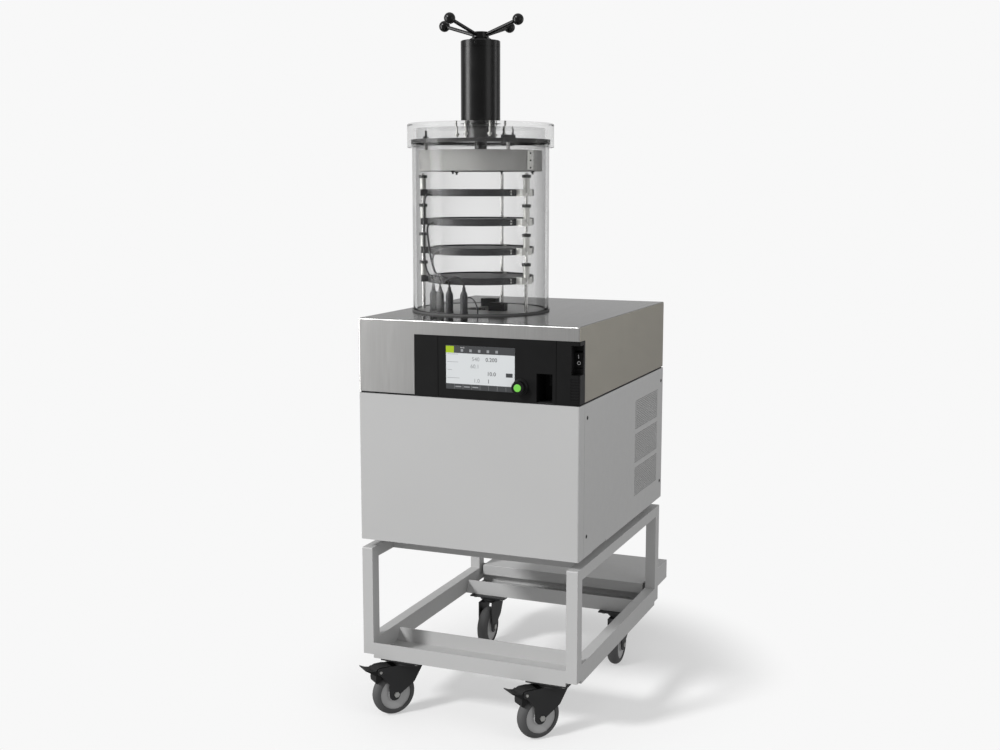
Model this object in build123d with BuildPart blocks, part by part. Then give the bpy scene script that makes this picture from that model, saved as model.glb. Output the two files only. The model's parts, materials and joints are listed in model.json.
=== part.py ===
"""Freeze dryer with a stoppering drying chamber, on a wheeled stand.

Millimetres, +Z up, +X to the right of someone facing the front, +Y towards the back.
The origin is on the floor, midway between the outermost points of the plan.
"""

import os
from math import cos, pi, radians, sin, sqrt, tan

from build123d import *

os.makedirs("parts", exist_ok=True)

# ---- heights, from the floor up ---------------------------------------------------------
CASTOR_HEIGHT = 128
FRAME_HEIGHT = 254
FOOT_HEIGHT = 20
HOUSING_HEIGHT = 329
SEAM = 4
COVER_HEIGHT = 160

FRAME_TOP = CASTOR_HEIGHT + FRAME_HEIGHT
HOUSING_Z = FRAME_TOP + FOOT_HEIGHT
HOUSING_TOP = HOUSING_Z + HOUSING_HEIGHT
COVER_Z = HOUSING_TOP + SEAM
COVER_TOP = COVER_Z + COVER_HEIGHT

# ---- plan -------------------------------------------------------------------------------
UNIT_WIDTH = 510
UNIT_DEPTH = 640
PUMP_SHELF_REACH = 204  # the pump shelf behind the unit's back face
PEDAL_REACH = 68  # room for the brake pedals ahead of the unit's front face

FRONT = -(UNIT_DEPTH + PUMP_SHELF_REACH - PEDAL_REACH) / 2
BACK = FRONT + UNIT_DEPTH
SIDE = UNIT_WIDTH / 2

# ---- clearances -------------------------------------------------------------------------
RUNNING = 0.05  # radial, shaft in its bore
LOOSE = 0.3  # between pieces that move past or lie beside each other
SLOT = 0.5  # round a panel in its opening

# ---- castors ----------------------------------------------------------------------------
WHEEL_R = 50
TYRE_WIDTH = 28
RIM_R = 36
RIM_RECESS = 3
WHEEL_HUB_R = 15
AXLE_R = 6
CASTOR_TRAIL = 36
CHEEK = 2.5
CHEEK_GAP = TYRE_WIDTH + 5
CHEEK_BACK = 28  # behind the swivel
CHEEK_FRONT = 17  # ahead of the axle
CHEEK_END_R = 13
CHEEK_WAIST = (-44, 24)  # from the axle
BRIDGE_LENGTH = 56
RIVET_HEAD = 3  # how far the axle's and the pedal pin's heads stand out of the cheeks
RACE_R = 33
RACE_HEIGHT = 11
KINGPIN_R = 6
CASTOR_PLATE = (95, 80, 3)
CASTOR_BOLT_R = 5
CASTOR_BOLT_SPACING = (72, 58)
CASTOR_INSET_X = 81
CASTOR_SHIFT = 11  # the castors' centre line, to the right of the unit's
CASTOR_INSET_FRONT = 41
CASTOR_INSET_BACK = 99
FRONT_CASTOR_BEARING = 230.3  # where the wheel trails, from +X
REAR_CASTOR_BEARING = 271
PEDAL_WIDTH = 38
PEDAL_PIN_R = 3
PEDAL_PIVOT_FROM_AXLE = (38, 58)
PEDAL_BOSS_R = 8

# ---- wheeled frame ----------------------------------------------------------------------
FRAME_INSET = 1.5  # the frame stands this far inside the unit's plan
TUBE = 25
TUBE_WALL = 2
LEG_DEPTH = 30
LOWER_RAIL = 42
LEG_RISE = 8  # the legs stop this far above the lower rails' underside
CHANNEL_DEPTH = 118
CHANNEL_HEIGHT = 35
CHANNEL_SHEET = 2
CHANNEL_END_SLOPE = 8
CROSS_RAIL_INSET_FRONT = 104
CROSS_RAIL_INSET_BACK = 100
PUMP_SHELF_WIDTH = 440
PUMP_SHELF_OVERLAP = 24
PUMP_SHELF_RISE = 50  # its top above the frame's underside
PUMP_SHELF_FLANGE = 49
PUMP_SHELF_LIP = 26

# ---- housing ----------------------------------------------------------------------------
SHEET = 1.5
CORNER_R = 4
PANEL_WRAP = 33  # how far the front panel comes round the sides
PANEL_JOINT = 0.8
PAN_FLANGE = 26
FOOT_R = 21
FOOT_INSET = 81
SCREW_R = 3.2
SCREW_INSET = (17, 14, 44)  # from the joint line or back edge, from the top, from the bottom
NOTCH_LENGTH = 96
NOTCH_HEIGHT = 4
NOTCH_FROM_FRONT = 91
GRILLE_WIDTH = 196
GRILLE_FIELD = 73
GRILLE_BAR = 7
GRILLE_FIELDS = 3
GRILLE_FROM_BACK = 44
GRILLE_FROM_TOP = 46
SLIT_WIDTH = 3
SLIT_PITCH = 9

# ---- control fascia ---------------------------------------------------------------------
FASCIA_LEFT = -119.6
FASCIA_DROP = 30  # below the cover's top
FASCIA_PLATE = 6
FASCIA_WALL = 3
SCREEN_X = -45
SCREEN_WIDTH = 157
SCREEN_HEIGHT = 93
SCREEN_DROP = 50
SCREEN_THICKNESS = 4.7
MODULE_LINES = (-63.4, 203.7)
LINE_WIDTH = 1.2
LINE_DEPTH = 1
KNOB_X = 125
KNOB_DROP = 130
KNOB_R = 14
KNOB_BASE_R = 17
KNOB_LENGTH = 18
KNOB_SHAFT_R = 5
BUTTON_R = 8
BUTTON_TRAVEL = 2
BUTTON_LENGTH = 9
NOOK_X = 160.5
NOOK_WIDTH = 35
NOOK_DEPTH = 56
NOOK_DROP = 100
NOOK_WALL = 2
SWITCH_NOTCH_WIDTH = 19.3
SWITCH_NOTCH_DEPTH = 24
SWITCH_NOTCH_DROP = 39
SWITCH_NOTCH_HEIGHT = 61
ROCKER_WIDTH = 16
ROCKER_HEIGHT = 32
ROCKER_DEPTH = 12
ROCKER_TILT = 9
ROCKER_PIN_R = 1.5
RIB_PITCH = 6
RIB_COUNT = 8
RIB_WIDTH = 20
RIB_DROP = 108
NOZZLE_FROM_BACK = 14  # of the nook
NOZZLE_LENGTH = 30
NOZZLE_R = 5
NOZZLE_BORE_R = 3
NOZZLE_FLANGE = (9, 4)  # radius and thickness
NOZZLE_BEAD = (6, 3)

# ---- drying chamber ---------------------------------------------------------------------
CHAMBER_X = -78
CHAMBER_SETBACK = 267
GASKET_R = 158
GASKET = 4
CYLINDER_R = 155.5
CYLINDER_WALL = 8
CYLINDER_HEIGHT = 378
LID_R = 166
LID_DISC = 11
LID_CAVITY = 25
LID_SKIRT = 17
FLANGE_SHEET = 3
MOUTH_R = 36
POT_R = 106
POT_DEPTH = 300
POT_WALL = 2
POT_SPOUT_R = 8
COIL_R = 92
COIL_TUBE_R = 5
COIL_TURNS = 9
COIL_PITCH = 24
COIL_TOP = 40  # the highest turn below the cover
STRAP_BEARINGS = (60, 180, 300)

CHAMBER_Y = FRONT + CHAMBER_SETBACK
AXIS = Plane((CHAMBER_X, CHAMBER_Y, 0))
FLOOR_Z = COVER_TOP + FLANGE_SHEET
CYLINDER_Z = COVER_TOP + GASKET
CYLINDER_TOP = CYLINDER_Z + CYLINDER_HEIGHT
LID_SEAT = CYLINDER_TOP + GASKET
LID_TOP = LID_SEAT + LID_CAVITY + LID_DISC
GASKET_INNER_R = CYLINDER_R - CYLINDER_WALL - 1.5

# ---- shelves on their guide rods --------------------------------------------------------
ROD_R = 4
ROD_CIRCLE = 134
SIDE_RODS = (-18, 195)  # the shelves have sleeves and collars on these two
ROD_BEARINGS = (*SIDE_RODS, 91)
SHELF_R = 121
SHELF_THICKNESS = 15.4
SHELF_PITCH = 65
SHELF_COUNT = 4
LOWEST_SHELF = 65.6  # its underside above the cover
SHELF_RIM = 2
SHELF_POCKET = 3
LUG_WIDTH = 36
LUG_REACH = 3  # past the rod's axis
SLEEVE_R = 7
SLEEVE_LENGTH = 25
COLLAR_R = 10
COLLAR_HEIGHT = 7
GLAND_R = 4
GLAND_LENGTH = 1.5
GLAND_RISE = 4.5  # its middle above the shelf's underside
GLAND_BEARINGS = (226, 231, 241, 256)

# ---- stoppering drive -------------------------------------------------------------------
TUBE_R = 44.5
TUBE_BORE_R = 37
TUBE_HEIGHT = 169
CAP_HEIGHT = 14
SPIGOT_R = 33
SPIGOT_LENGTH = 36
PISTON_R = 14
SPINDLE_R = 8
SPINDLE_LENGTH = 170
SPINDLE_ROOM = 25  # in the piston, below the spindle's end
PISTON_LENGTH = 245
PLATE_R = 140
PLATE_SHEET = 1.5
PLATE_FLOOR = 4
PLATE_HEIGHT = 46
PLATE_GAP = 8  # between the plate and the top shelf's collars
PLATE_BOSS_R = 24
PLATE_BOSS_HEIGHT = 16
BRACKET_CIRCLE = 124
BRACKET_BEARINGS = (82, 202, 322)
BRACKET_WIDTH = 31
BRACKET_DEPTH = 10
BRACKET_HEIGHT = 9
BRACKET_RISE = 23
BRACKET_SCREW_R = 1.7
BRACKET_SCREW_LENGTH = 13
BRACKET_SCREW_SPACING = 24
STEM_R = 4
HUB_R = 27
HUB_TOP_R = 19
HUB_HEIGHT = 19
ARM_COUNT = 4
ARM_R = 4
ARM_BEARING = -16
ARM_FOOT = 11  # where the arms enter, above the hub's underside
ARM_REACH = 106
ARM_RISE = 28
BALL_R = 12.5

# ---- plugs and leads --------------------------------------------------------------------
PLUG_R = 9
PLUG_BODY = 36
PLUG_RELIEF = 22
PLUG_NECK_R = 3.6
PLUG_CIRCLE = 128
PLUG_BEARINGS = (237, 248, 260, 276)
LEAD_R = 2.25
SENSOR_LEAD_R = 1.5
BLOCK_SIZE = (38, 22, 18)
BLOCK_PLACES = ((76, 97), (60, -27))  # distance from the chamber's axis, bearing
# Each lead's route as (distance from the chamber's axis, bearing, height above the cover).
LEAD_ROUTES = {
    "lead_shelf_1": (
        (122.5, 226, 265.1), (129.5, 226, 265.1), (135, 226, 259), (137, 226, 246),
        (137.6, 226.4, 224), (137.6, 226.3, 184), (138, 226, 144), (137.4, 227, 108),
        (134.5, 231, 88), (129.6, 235.4, 78), (128, 237, 69.5), (128, 237, 61),
    ),
    "lead_shelf_2": (
        (122.5, 231, 200.1), (129, 231, 200.1), (134.5, 231.2, 195), (136, 231.5, 184),
        (135, 232.5, 164), (132, 234, 130), (130, 238, 103), (129.5, 242.5, 89),
        (128.5, 246.5, 79.5), (128, 248, 70), (128, 248, 61),
    ),
    "lead_shelf_3": (
        (122.5, 241, 135.1), (129.5, 241, 135.1), (135, 241.2, 130), (138, 241.6, 119),
        (139, 243, 101), (138.3, 248, 88), (135, 253.5, 84.5), (130.5, 257.8, 80),
        (128, 260, 71), (128, 260, 61),
    ),
    "lead_shelf_4": (
        (122.5, 256, 70.1), (130, 256, 70.1), (136, 258, 74), (139, 262, 81),
        (138, 267.5, 84.5), (133.5, 272.6, 82), (128, 276, 72.5), (128, 276, 61),
    ),
    "lead_sensor": (
        (110, 274, 3), (110, 274, 15), (112, 274.8, 28), (117, 277.5, 38),
        (123, 283, 39), (128, 287.5, 29), (130, 290, 15), (130, 290, 3),
    ),
}  # fmt: skip

# ---- inside and behind ------------------------------------------------------------------
COMPRESSOR_R = 78
COMPRESSOR_HEIGHT = 165
COMPRESSOR_PLACE = (-115, 505)
COMPRESSOR_FOOT = 12
COMPRESSOR_SEAM = (3, 8)  # how far the weld seam stands out, and its height
EXCHANGER_THICKNESS = 34
EXCHANGER_WIDTH = 200
EXCHANGER_HEIGHT = 240
EXCHANGER_LEG = 36
EXCHANGER_SHEET = 2
EXCHANGER_TUBE_R = 5
EXCHANGER_TUBES = 5
EXCHANGER_GAP = 8  # behind the side panel
FIN = 1
FIN_COUNT = 16
FIN_PITCH = 12
FAN_R = 86
FAN_DEPTH = 18
FAN_HUB_R = 26
FAN_BLADES = 5
BLADE = 1.6
BLADE_WIDTH = 42
BLADE_PITCH = 20  # degrees from the plane of rotation
FAN_TIP = 2  # between the blades and their ring
FAN_SHAFT_R = 4
MOTOR_R = 30
MOTOR_LENGTH = 30
PORT_X = -78
PORT_RISE = 285  # above the housing's underside
PORT_LENGTH = 34
PORT_TUBE_R = 14
PORT_WALL = 2
PORT_BORE_R = 12.5
PORT_BORE_LENGTH = 30
PORT_FLANGE_R = 20
PORT_FLANGE = 5
INLET_FROM_SIDE = 75
INLET_RISE = 60
INLET_X = SIDE - INLET_FROM_SIDE
INLET_SIZE = (50, 30)
INLET_SHELL = (32, 24)
INLET_DEPTH = 22
INLET_WALL = 2
INLET_CORNER_R = 3
INLET_PIN = (2, 4)
INLET_PINS = ((-7, -2), (0, 2), (7, -2))


def export(builder, label):
    """Names a finished piece and writes it as one STEP file."""
    builder.part.label = label
    export_step(builder.part, f"parts/{label}.step")


def block(x0, x1, y0, y1, z0, z1, mode=Mode.ADD):
    """A box between two corners, added to the part being built."""
    with Locations(((x0 + x1) / 2, (y0 + y1) / 2, (z0 + z1) / 2)):
        Box(x1 - x0, y1 - y0, z1 - z0, mode=mode)


def disc(x, y, z0, z1, radius, mode=Mode.ADD):
    """An upright cylinder from z0 to z1, added to the part being built."""
    with Locations((x, y, (z0 + z1) / 2)):
        Cylinder(radius, z1 - z0, mode=mode)


def round_about_chamber(radius, bearing):
    """The plan point at a distance and a bearing (from +X) from the chamber's axis."""
    turn = radians(bearing)
    return (CHAMBER_X + radius * cos(turn), CHAMBER_Y + radius * sin(turn))


# =========================================================================================
# Castors: plate, fork, wheel and, in front, a brake pedal
# =========================================================================================
PLATE_Z = CASTOR_HEIGHT - CASTOR_PLATE[2]
RACE_TOP = PLATE_Z - LOOSE
RACE_Z = RACE_TOP - RACE_HEIGHT
BRIDGE_Z = RACE_Z - 2 * CHEEK
CHEEK_TOP = RACE_Z + CHEEK
CHEEK_N = CHEEK_GAP / 2

FRONT_Y = FRONT + CASTOR_INSET_FRONT
REAR_Y = BACK - CASTOR_INSET_BACK
CASTOR_X = SIDE - CASTOR_INSET_X
CASTORS = {
    "front_left": (CASTOR_SHIFT - CASTOR_X, FRONT_Y, FRONT_CASTOR_BEARING),
    "front_right": (CASTOR_SHIFT + CASTOR_X, FRONT_Y, FRONT_CASTOR_BEARING),
    "rear_left": (CASTOR_SHIFT - CASTOR_X, REAR_Y, REAR_CASTOR_BEARING),
    "rear_right": (CASTOR_SHIFT + CASTOR_X, REAR_Y, REAR_CASTOR_BEARING),
}


def from_axle(along, up):
    """A point of the castor's side view, along the trail and up from its axle."""
    return (CASTOR_TRAIL + along, WHEEL_R + up)


def castor_side(x, y, bearing):
    """The castor's upright middle plane: its x runs along the trail, its y upwards."""
    trail = Vector(cos(radians(bearing)), sin(radians(bearing)), 0)
    return Plane((x, y, 0), x_dir=trail, z_dir=trail.cross(Vector(0, 0, 1)))


with BuildPart() as castor_plates:
    for x, y, bearing in CASTORS.values():
        block(
            x - CASTOR_PLATE[0] / 2, x + CASTOR_PLATE[0] / 2,
            y - CASTOR_PLATE[1] / 2, y + CASTOR_PLATE[1] / 2, PLATE_Z, CASTOR_HEIGHT,
        )  # fmt: skip
        disc(x, y, BRIDGE_Z + 1, PLATE_Z, KINGPIN_R)
        for dx in (-CASTOR_BOLT_SPACING[0] / 2, CASTOR_BOLT_SPACING[0] / 2):
            for dy in (-CASTOR_BOLT_SPACING[1] / 2, CASTOR_BOLT_SPACING[1] / 2):
                disc(x + dx, y + dy, PLATE_Z - 3.5, PLATE_Z, CASTOR_BOLT_R)
export(castor_plates, "castor_plates")

for corner, (x, y, bearing) in CASTORS.items():
    side = castor_side(x, y, bearing)
    braked = corner.startswith("front")
    pivot = from_axle(*PEDAL_PIVOT_FROM_AXLE)

    with BuildPart() as fork:
        disc(x, y, RACE_Z, RACE_TOP, RACE_R)
        chamfer(fork.edges().filter_by(GeomType.CIRCLE), 2)
        with BuildSketch(side) as bridge_outline:
            with Locations((BRIDGE_LENGTH / 2 - CHEEK_BACK, (BRIDGE_Z + CHEEK_TOP) / 2)):
                Rectangle(BRIDGE_LENGTH, CHEEK_TOP - BRIDGE_Z)
        extrude(amount=CHEEK_N + CHEEK, both=True)
        for face in (1, -1):
            with BuildSketch(side.offset(face * CHEEK_N)) as cheek_outline:
                with BuildLine():
                    Polyline(
                        (-CHEEK_BACK, CHEEK_TOP), (CASTOR_TRAIL + CHEEK_FRONT, CHEEK_TOP),
                        from_axle(CHEEK_FRONT, 0), from_axle(CHEEK_FRONT - CHEEK_END_R, -CHEEK_END_R),
                        from_axle(CHEEK_FRONT - 2 * CHEEK_END_R, 0),
                        from_axle(*CHEEK_WAIST), (-CHEEK_BACK, BRIDGE_Z), close=True,
                    )  # fmt: skip
                make_face()
                with Locations(from_axle(CHEEK_FRONT - CHEEK_END_R, 0)):
                    Circle(CHEEK_END_R)
                if braked:
                    with Locations(pivot):
                        Circle(PEDAL_BOSS_R)
                    with BuildLine():
                        Polyline(
                            (CASTOR_TRAIL, CHEEK_TOP), (pivot[0], pivot[1] + PEDAL_BOSS_R),
                            (pivot[0], pivot[1] - PEDAL_BOSS_R), from_axle(CHEEK_FRONT, WHEEL_R / 2),
                            close=True,
                        )  # fmt: skip
                    make_face()
            extrude(amount=face * CHEEK)
        with BuildSketch(side):
            with Locations((CASTOR_TRAIL, WHEEL_R)):
                Circle(AXLE_R)
        extrude(amount=CHEEK_N + CHEEK, both=True)
        with BuildSketch(side):
            with Locations((CASTOR_TRAIL, WHEEL_R)):
                RegularPolygon(AXLE_R + 0.6, 6)
            if braked:
                with Locations(pivot):
                    Circle(PEDAL_PIN_R)
        extrude(amount=CHEEK_N + CHEEK + RIVET_HEAD, both=True)
        with BuildSketch(side):
            with Locations((CASTOR_TRAIL, WHEEL_R)):
                Circle(AXLE_R + 1)
        extrude(amount=CHEEK_N, both=True, mode=Mode.SUBTRACT)
        with BuildSketch(side):
            with Locations((CASTOR_TRAIL, WHEEL_R)):
                Circle(AXLE_R)
        extrude(amount=CHEEK_N, both=True)
        disc(x, y, BRIDGE_Z - 1, RACE_TOP + 1, KINGPIN_R + RUNNING, Mode.SUBTRACT)
    export(fork, f"fork_{corner}")

    with BuildPart() as wheel:
        centre = side.origin + side.x_dir * CASTOR_TRAIL
        with BuildSketch(Plane(centre, x_dir=(0, 0, 1), z_dir=side.x_dir)):
            with BuildLine():
                Polyline(
                    (WHEEL_R + AXLE_R + RUNNING, 0),
                    (WHEEL_R + AXLE_R + RUNNING, CHEEK_N - LOOSE),
                    (WHEEL_R + WHEEL_HUB_R, CHEEK_N - LOOSE),
                    (WHEEL_R + WHEEL_HUB_R + 2, TYRE_WIDTH / 2 - RIM_RECESS),
                    (WHEEL_R + RIM_R, TYRE_WIDTH / 2 - RIM_RECESS),
                    (WHEEL_R + RIM_R, TYRE_WIDTH / 2),
                    (WHEEL_R + RIM_R, 0), close=True,
                )  # fmt: skip
            make_face()
            mirror(about=Plane.XZ)
            with BuildLine():
                Line((WHEEL_R + RIM_R, -TYRE_WIDTH / 2), (WHEEL_R + RIM_R, TYRE_WIDTH / 2))
                ThreePointArc(
                    (WHEEL_R + RIM_R, TYRE_WIDTH / 2), (2 * WHEEL_R, 0), (WHEEL_R + RIM_R, -TYRE_WIDTH / 2)
                )
            make_face()
        revolve(axis=Axis(centre + Vector(0, 0, WHEEL_R), side.z_dir))
    export(wheel, f"wheel_{corner}")

    if braked:
        with BuildPart() as pedal:
            with BuildSketch(side):
                with BuildLine():
                    Polyline(
                        from_axle(9, 60), from_axle(10, 66), from_axle(22, 68.5), from_axle(40, 68),
                        from_axle(47, 65), from_axle(52, 62), from_axle(52, 54), from_axle(48, 50),
                        from_axle(49, 41), from_axle(48, 33), from_axle(44, 31), from_axle(36, 40),
                        from_axle(33, 45), from_axle(20, 53), close=True,
                    )  # fmt: skip
                make_face()
                with Locations(pivot):
                    Circle(PEDAL_PIN_R + RUNNING, mode=Mode.SUBTRACT)
            extrude(amount=CHEEK_N - LOOSE, both=True)
            with BuildSketch(side) as tread:
                with BuildLine():
                    Polyline(
                        from_axle(47, 65), from_axle(52, 62), from_axle(62, 64),
                        from_axle(73.5, 69), from_axle(74, 67), from_axle(61, 59),
                        from_axle(47, 50), close=True,
                    )  # fmt: skip
                make_face()
            extrude(amount=PEDAL_WIDTH / 2, both=True)
        export(pedal, f"brake_pedal_{corner.split('_')[1]}")


# =========================================================================================
# Wheeled frame: two welded side rings, cross rails, two channels and the pump shelf
# =========================================================================================
FRAME_SIDE = SIDE - FRAME_INSET
FRAME_FRONT = FRONT + FRAME_INSET
FRAME_BACK = BACK - FRAME_INSET - 4.5
LEG_INNER = FRAME_SIDE - TUBE

for name, sign in (("left", -1), ("right", 1)):
    with BuildPart() as cart_side:
        outer_face = Plane((sign * FRAME_SIDE, 0, 0), x_dir=(0, 1, 0), z_dir=(1, 0, 0))
        with BuildSketch(outer_face):
            with BuildLine():
                Polyline(
                    (FRAME_FRONT, CASTOR_HEIGHT + LEG_RISE), (FRAME_FRONT, FRAME_TOP),
                    (FRAME_BACK, FRAME_TOP), (FRAME_BACK, CASTOR_HEIGHT + LEG_RISE),
                    (FRAME_BACK - LEG_DEPTH, CASTOR_HEIGHT + LEG_RISE),
                    (FRAME_BACK - LEG_DEPTH, CASTOR_HEIGHT),
                    (FRAME_FRONT + LEG_DEPTH, CASTOR_HEIGHT),
                    (FRAME_FRONT + LEG_DEPTH, CASTOR_HEIGHT + LEG_RISE), close=True,
                )  # fmt: skip
            make_face()
            with BuildLine():
                Polyline(
                    (FRAME_FRONT + LEG_DEPTH, CASTOR_HEIGHT + LOWER_RAIL),
                    (FRAME_FRONT + LEG_DEPTH, FRAME_TOP - TUBE),
                    (FRAME_BACK - LEG_DEPTH, FRAME_TOP - TUBE),
                    (FRAME_BACK - LEG_DEPTH, CASTOR_HEIGHT + LOWER_RAIL), close=True,
                )  # fmt: skip
            make_face(mode=Mode.SUBTRACT)
        extrude(amount=-sign * TUBE)
        fillet(cart_side.edges().filter_by(Axis.X).group_by(Axis.Z)[-1], 3)
        with BuildSketch(outer_face.offset(-sign * TUBE_WALL)):
            with BuildLine():
                Polyline(
                    (FRAME_FRONT + TUBE_WALL, CASTOR_HEIGHT),
                    (FRAME_FRONT + TUBE_WALL, FRAME_TOP - TUBE_WALL),
                    (FRAME_BACK - TUBE_WALL, FRAME_TOP - TUBE_WALL),
                    (FRAME_BACK - TUBE_WALL, CASTOR_HEIGHT),
                    (FRAME_BACK - LEG_DEPTH + TUBE_WALL, CASTOR_HEIGHT),
                    (FRAME_BACK - LEG_DEPTH + TUBE_WALL, FRAME_TOP - TUBE + TUBE_WALL),
                    (FRAME_FRONT + LEG_DEPTH - TUBE_WALL, FRAME_TOP - TUBE + TUBE_WALL),
                    (FRAME_FRONT + LEG_DEPTH - TUBE_WALL, CASTOR_HEIGHT), close=True,
                )  # fmt: skip
            make_face()
        extrude(amount=-sign * (TUBE - 2 * TUBE_WALL), mode=Mode.SUBTRACT)
    export(cart_side, f"cart_{name}_side")

with BuildPart() as cart_cross_rails:
    for y0 in (FRONT + CROSS_RAIL_INSET_FRONT, BACK - CROSS_RAIL_INSET_BACK - TUBE):
        block(-LEG_INNER, LEG_INNER, y0, y0 + TUBE, FRAME_TOP - TUBE, FRAME_TOP)
        block(
            -LEG_INNER, LEG_INNER, y0 + TUBE_WALL, y0 + TUBE - TUBE_WALL,
            FRAME_TOP - TUBE + TUBE_WALL, FRAME_TOP - TUBE_WALL, Mode.SUBTRACT,
        )  # fmt: skip
export(cart_cross_rails, "cart_cross_rails")

CHANNEL_TOP = CASTOR_HEIGHT + CHANNEL_HEIGHT
SHELF_TOP = CASTOR_HEIGHT + PUMP_SHELF_RISE
with BuildPart() as cart_channels:
    for y0, inner_wall, outer_top in (
        (FRAME_FRONT, 1, CHANNEL_TOP),
        (FRAME_BACK - CHANNEL_DEPTH, -1, SHELF_TOP - CHANNEL_SHEET),
    ):
        y1 = y0 + CHANNEL_DEPTH
        sloped = y1 if inner_wall > 0 else y0
        upright = y0 if inner_wall > 0 else y1
        block(-LEG_INNER, LEG_INNER, y0, y1, CASTOR_HEIGHT, CASTOR_HEIGHT + CHANNEL_SHEET)
        block(
            -LEG_INNER, LEG_INNER, *sorted((upright, upright + inner_wall * CHANNEL_SHEET)),
            CASTOR_HEIGHT, outer_top,
        )  # fmt: skip
        with BuildSketch(Plane((0, sloped, 0), x_dir=(1, 0, 0), z_dir=(0, -1, 0))):
            with BuildLine():
                Polyline(
                    (-LEG_INNER, CASTOR_HEIGHT), (LEG_INNER, CASTOR_HEIGHT),
                    (LEG_INNER - CHANNEL_END_SLOPE, CHANNEL_TOP),
                    (-LEG_INNER + CHANNEL_END_SLOPE, CHANNEL_TOP), close=True,
                )  # fmt: skip
            make_face()
        extrude(amount=inner_wall * CHANNEL_SHEET)
export(cart_channels, "cart_channels")

SHELF_FRONT = FRAME_BACK - PUMP_SHELF_OVERLAP
SHELF_BACK = BACK + PUMP_SHELF_REACH
SHELF_HALF = PUMP_SHELF_WIDTH / 2
with BuildPart() as pump_shelf:
    block(-SHELF_HALF, SHELF_HALF, SHELF_FRONT, SHELF_BACK, SHELF_TOP - CHANNEL_SHEET, SHELF_TOP)
    block(
        -SHELF_HALF, SHELF_HALF, SHELF_FRONT, SHELF_FRONT + CHANNEL_SHEET,
        SHELF_TOP - PUMP_SHELF_LIP, SHELF_TOP,
    )  # fmt: skip
    block(
        -SHELF_HALF, SHELF_HALF, SHELF_BACK - CHANNEL_SHEET, SHELF_BACK,
        SHELF_TOP - PUMP_SHELF_FLANGE, SHELF_TOP,
    )  # fmt: skip
    for x0 in (-SHELF_HALF, SHELF_HALF - CHANNEL_SHEET):
        block(
            x0, x0 + CHANNEL_SHEET, FRAME_BACK, SHELF_BACK, SHELF_TOP - PUMP_SHELF_FLANGE, SHELF_TOP,
        )  # fmt: skip
    fillet(pump_shelf.edges().group_by(Axis.Z)[-1], 1.2)
export(pump_shelf, "pump_shelf")

# =========================================================================================
# Housing: base pan on its feet, four panels, and the deck that the steel cover stands on
# =========================================================================================
INSIDE = SIDE - SHEET
with BuildPart() as base_pan:
    with BuildSketch(Plane.XY.offset(HOUSING_Z)):
        with Locations((0, (FRONT + BACK) / 2)):
            RectangleRounded(2 * INSIDE, UNIT_DEPTH - 2 * SHEET, CORNER_R - SHEET)
    extrude(amount=PAN_FLANGE)
    offset(amount=-SHEET, openings=base_pan.faces().sort_by(Axis.Z)[-1])
    for x in (-SIDE + FOOT_INSET, SIDE - FOOT_INSET):
        for y in (FRONT + CROSS_RAIL_INSET_FRONT, BACK - CROSS_RAIL_INSET_BACK - TUBE):
            disc(x, y + TUBE / 2, FRAME_TOP, HOUSING_Z, FOOT_R)
export(base_pan, "base_pan")

with BuildPart() as front_panel:
    with BuildSketch(Plane.XY.offset(HOUSING_Z)) as front_plan:
        with Locations((0, FRONT + UNIT_DEPTH / 2)):
            RectangleRounded(UNIT_WIDTH, UNIT_DEPTH, CORNER_R)
            RectangleRounded(
                2 * INSIDE, UNIT_DEPTH - 2 * SHEET, CORNER_R - SHEET, mode=Mode.SUBTRACT
            )
        with Locations((0, FRONT + PANEL_WRAP + UNIT_DEPTH / 2)):
            Rectangle(UNIT_WIDTH + 2, UNIT_DEPTH, mode=Mode.SUBTRACT)
    extrude(amount=HOUSING_HEIGHT)
export(front_panel, "front_panel")

PANEL_FRONT = FRONT + PANEL_WRAP + PANEL_JOINT
GRILLE_BACK = BACK - GRILLE_FROM_BACK
GRILLE_TOP = HOUSING_TOP - GRILLE_FROM_TOP
SLIT_COUNT = int(GRILLE_WIDTH // SLIT_PITCH)
for name, sign in (("left", -1), ("right", 1)):
    with BuildPart() as side_panel:
        outside = Plane((sign * SIDE, 0, 0), x_dir=(0, 1, 0), z_dir=(1, 0, 0))
        with BuildSketch(outside):
            with Locations(((PANEL_FRONT + BACK) / 2, HOUSING_Z + HOUSING_HEIGHT / 2)):
                Rectangle(BACK - PANEL_FRONT, HOUSING_HEIGHT)
            with Locations(
                (FRONT + NOTCH_FROM_FRONT + NOTCH_LENGTH / 2, HOUSING_Z + NOTCH_HEIGHT / 2)
            ):
                Rectangle(NOTCH_LENGTH, NOTCH_HEIGHT, mode=Mode.SUBTRACT)
            for y in (PANEL_FRONT + SCREW_INSET[0], BACK - SCREW_INSET[0]):
                with Locations(
                    (y, HOUSING_TOP - SCREW_INSET[1] - SCREW_INSET[0]), (y, HOUSING_Z + SCREW_INSET[2])
                ):
                    Circle(SCREW_R, mode=Mode.SUBTRACT)
            if sign > 0:
                for row in range(GRILLE_FIELDS):
                    z = GRILLE_TOP - GRILLE_FIELD / 2 - row * (GRILLE_FIELD + GRILLE_BAR)
                    with Locations((GRILLE_BACK - GRILLE_WIDTH / 2, z)):
                        with GridLocations(SLIT_PITCH, 1, SLIT_COUNT, 1):
                            Rectangle(SLIT_WIDTH, GRILLE_FIELD, mode=Mode.SUBTRACT)
        extrude(amount=-sign * SHEET)
    export(side_panel, f"{name}_panel")

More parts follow.
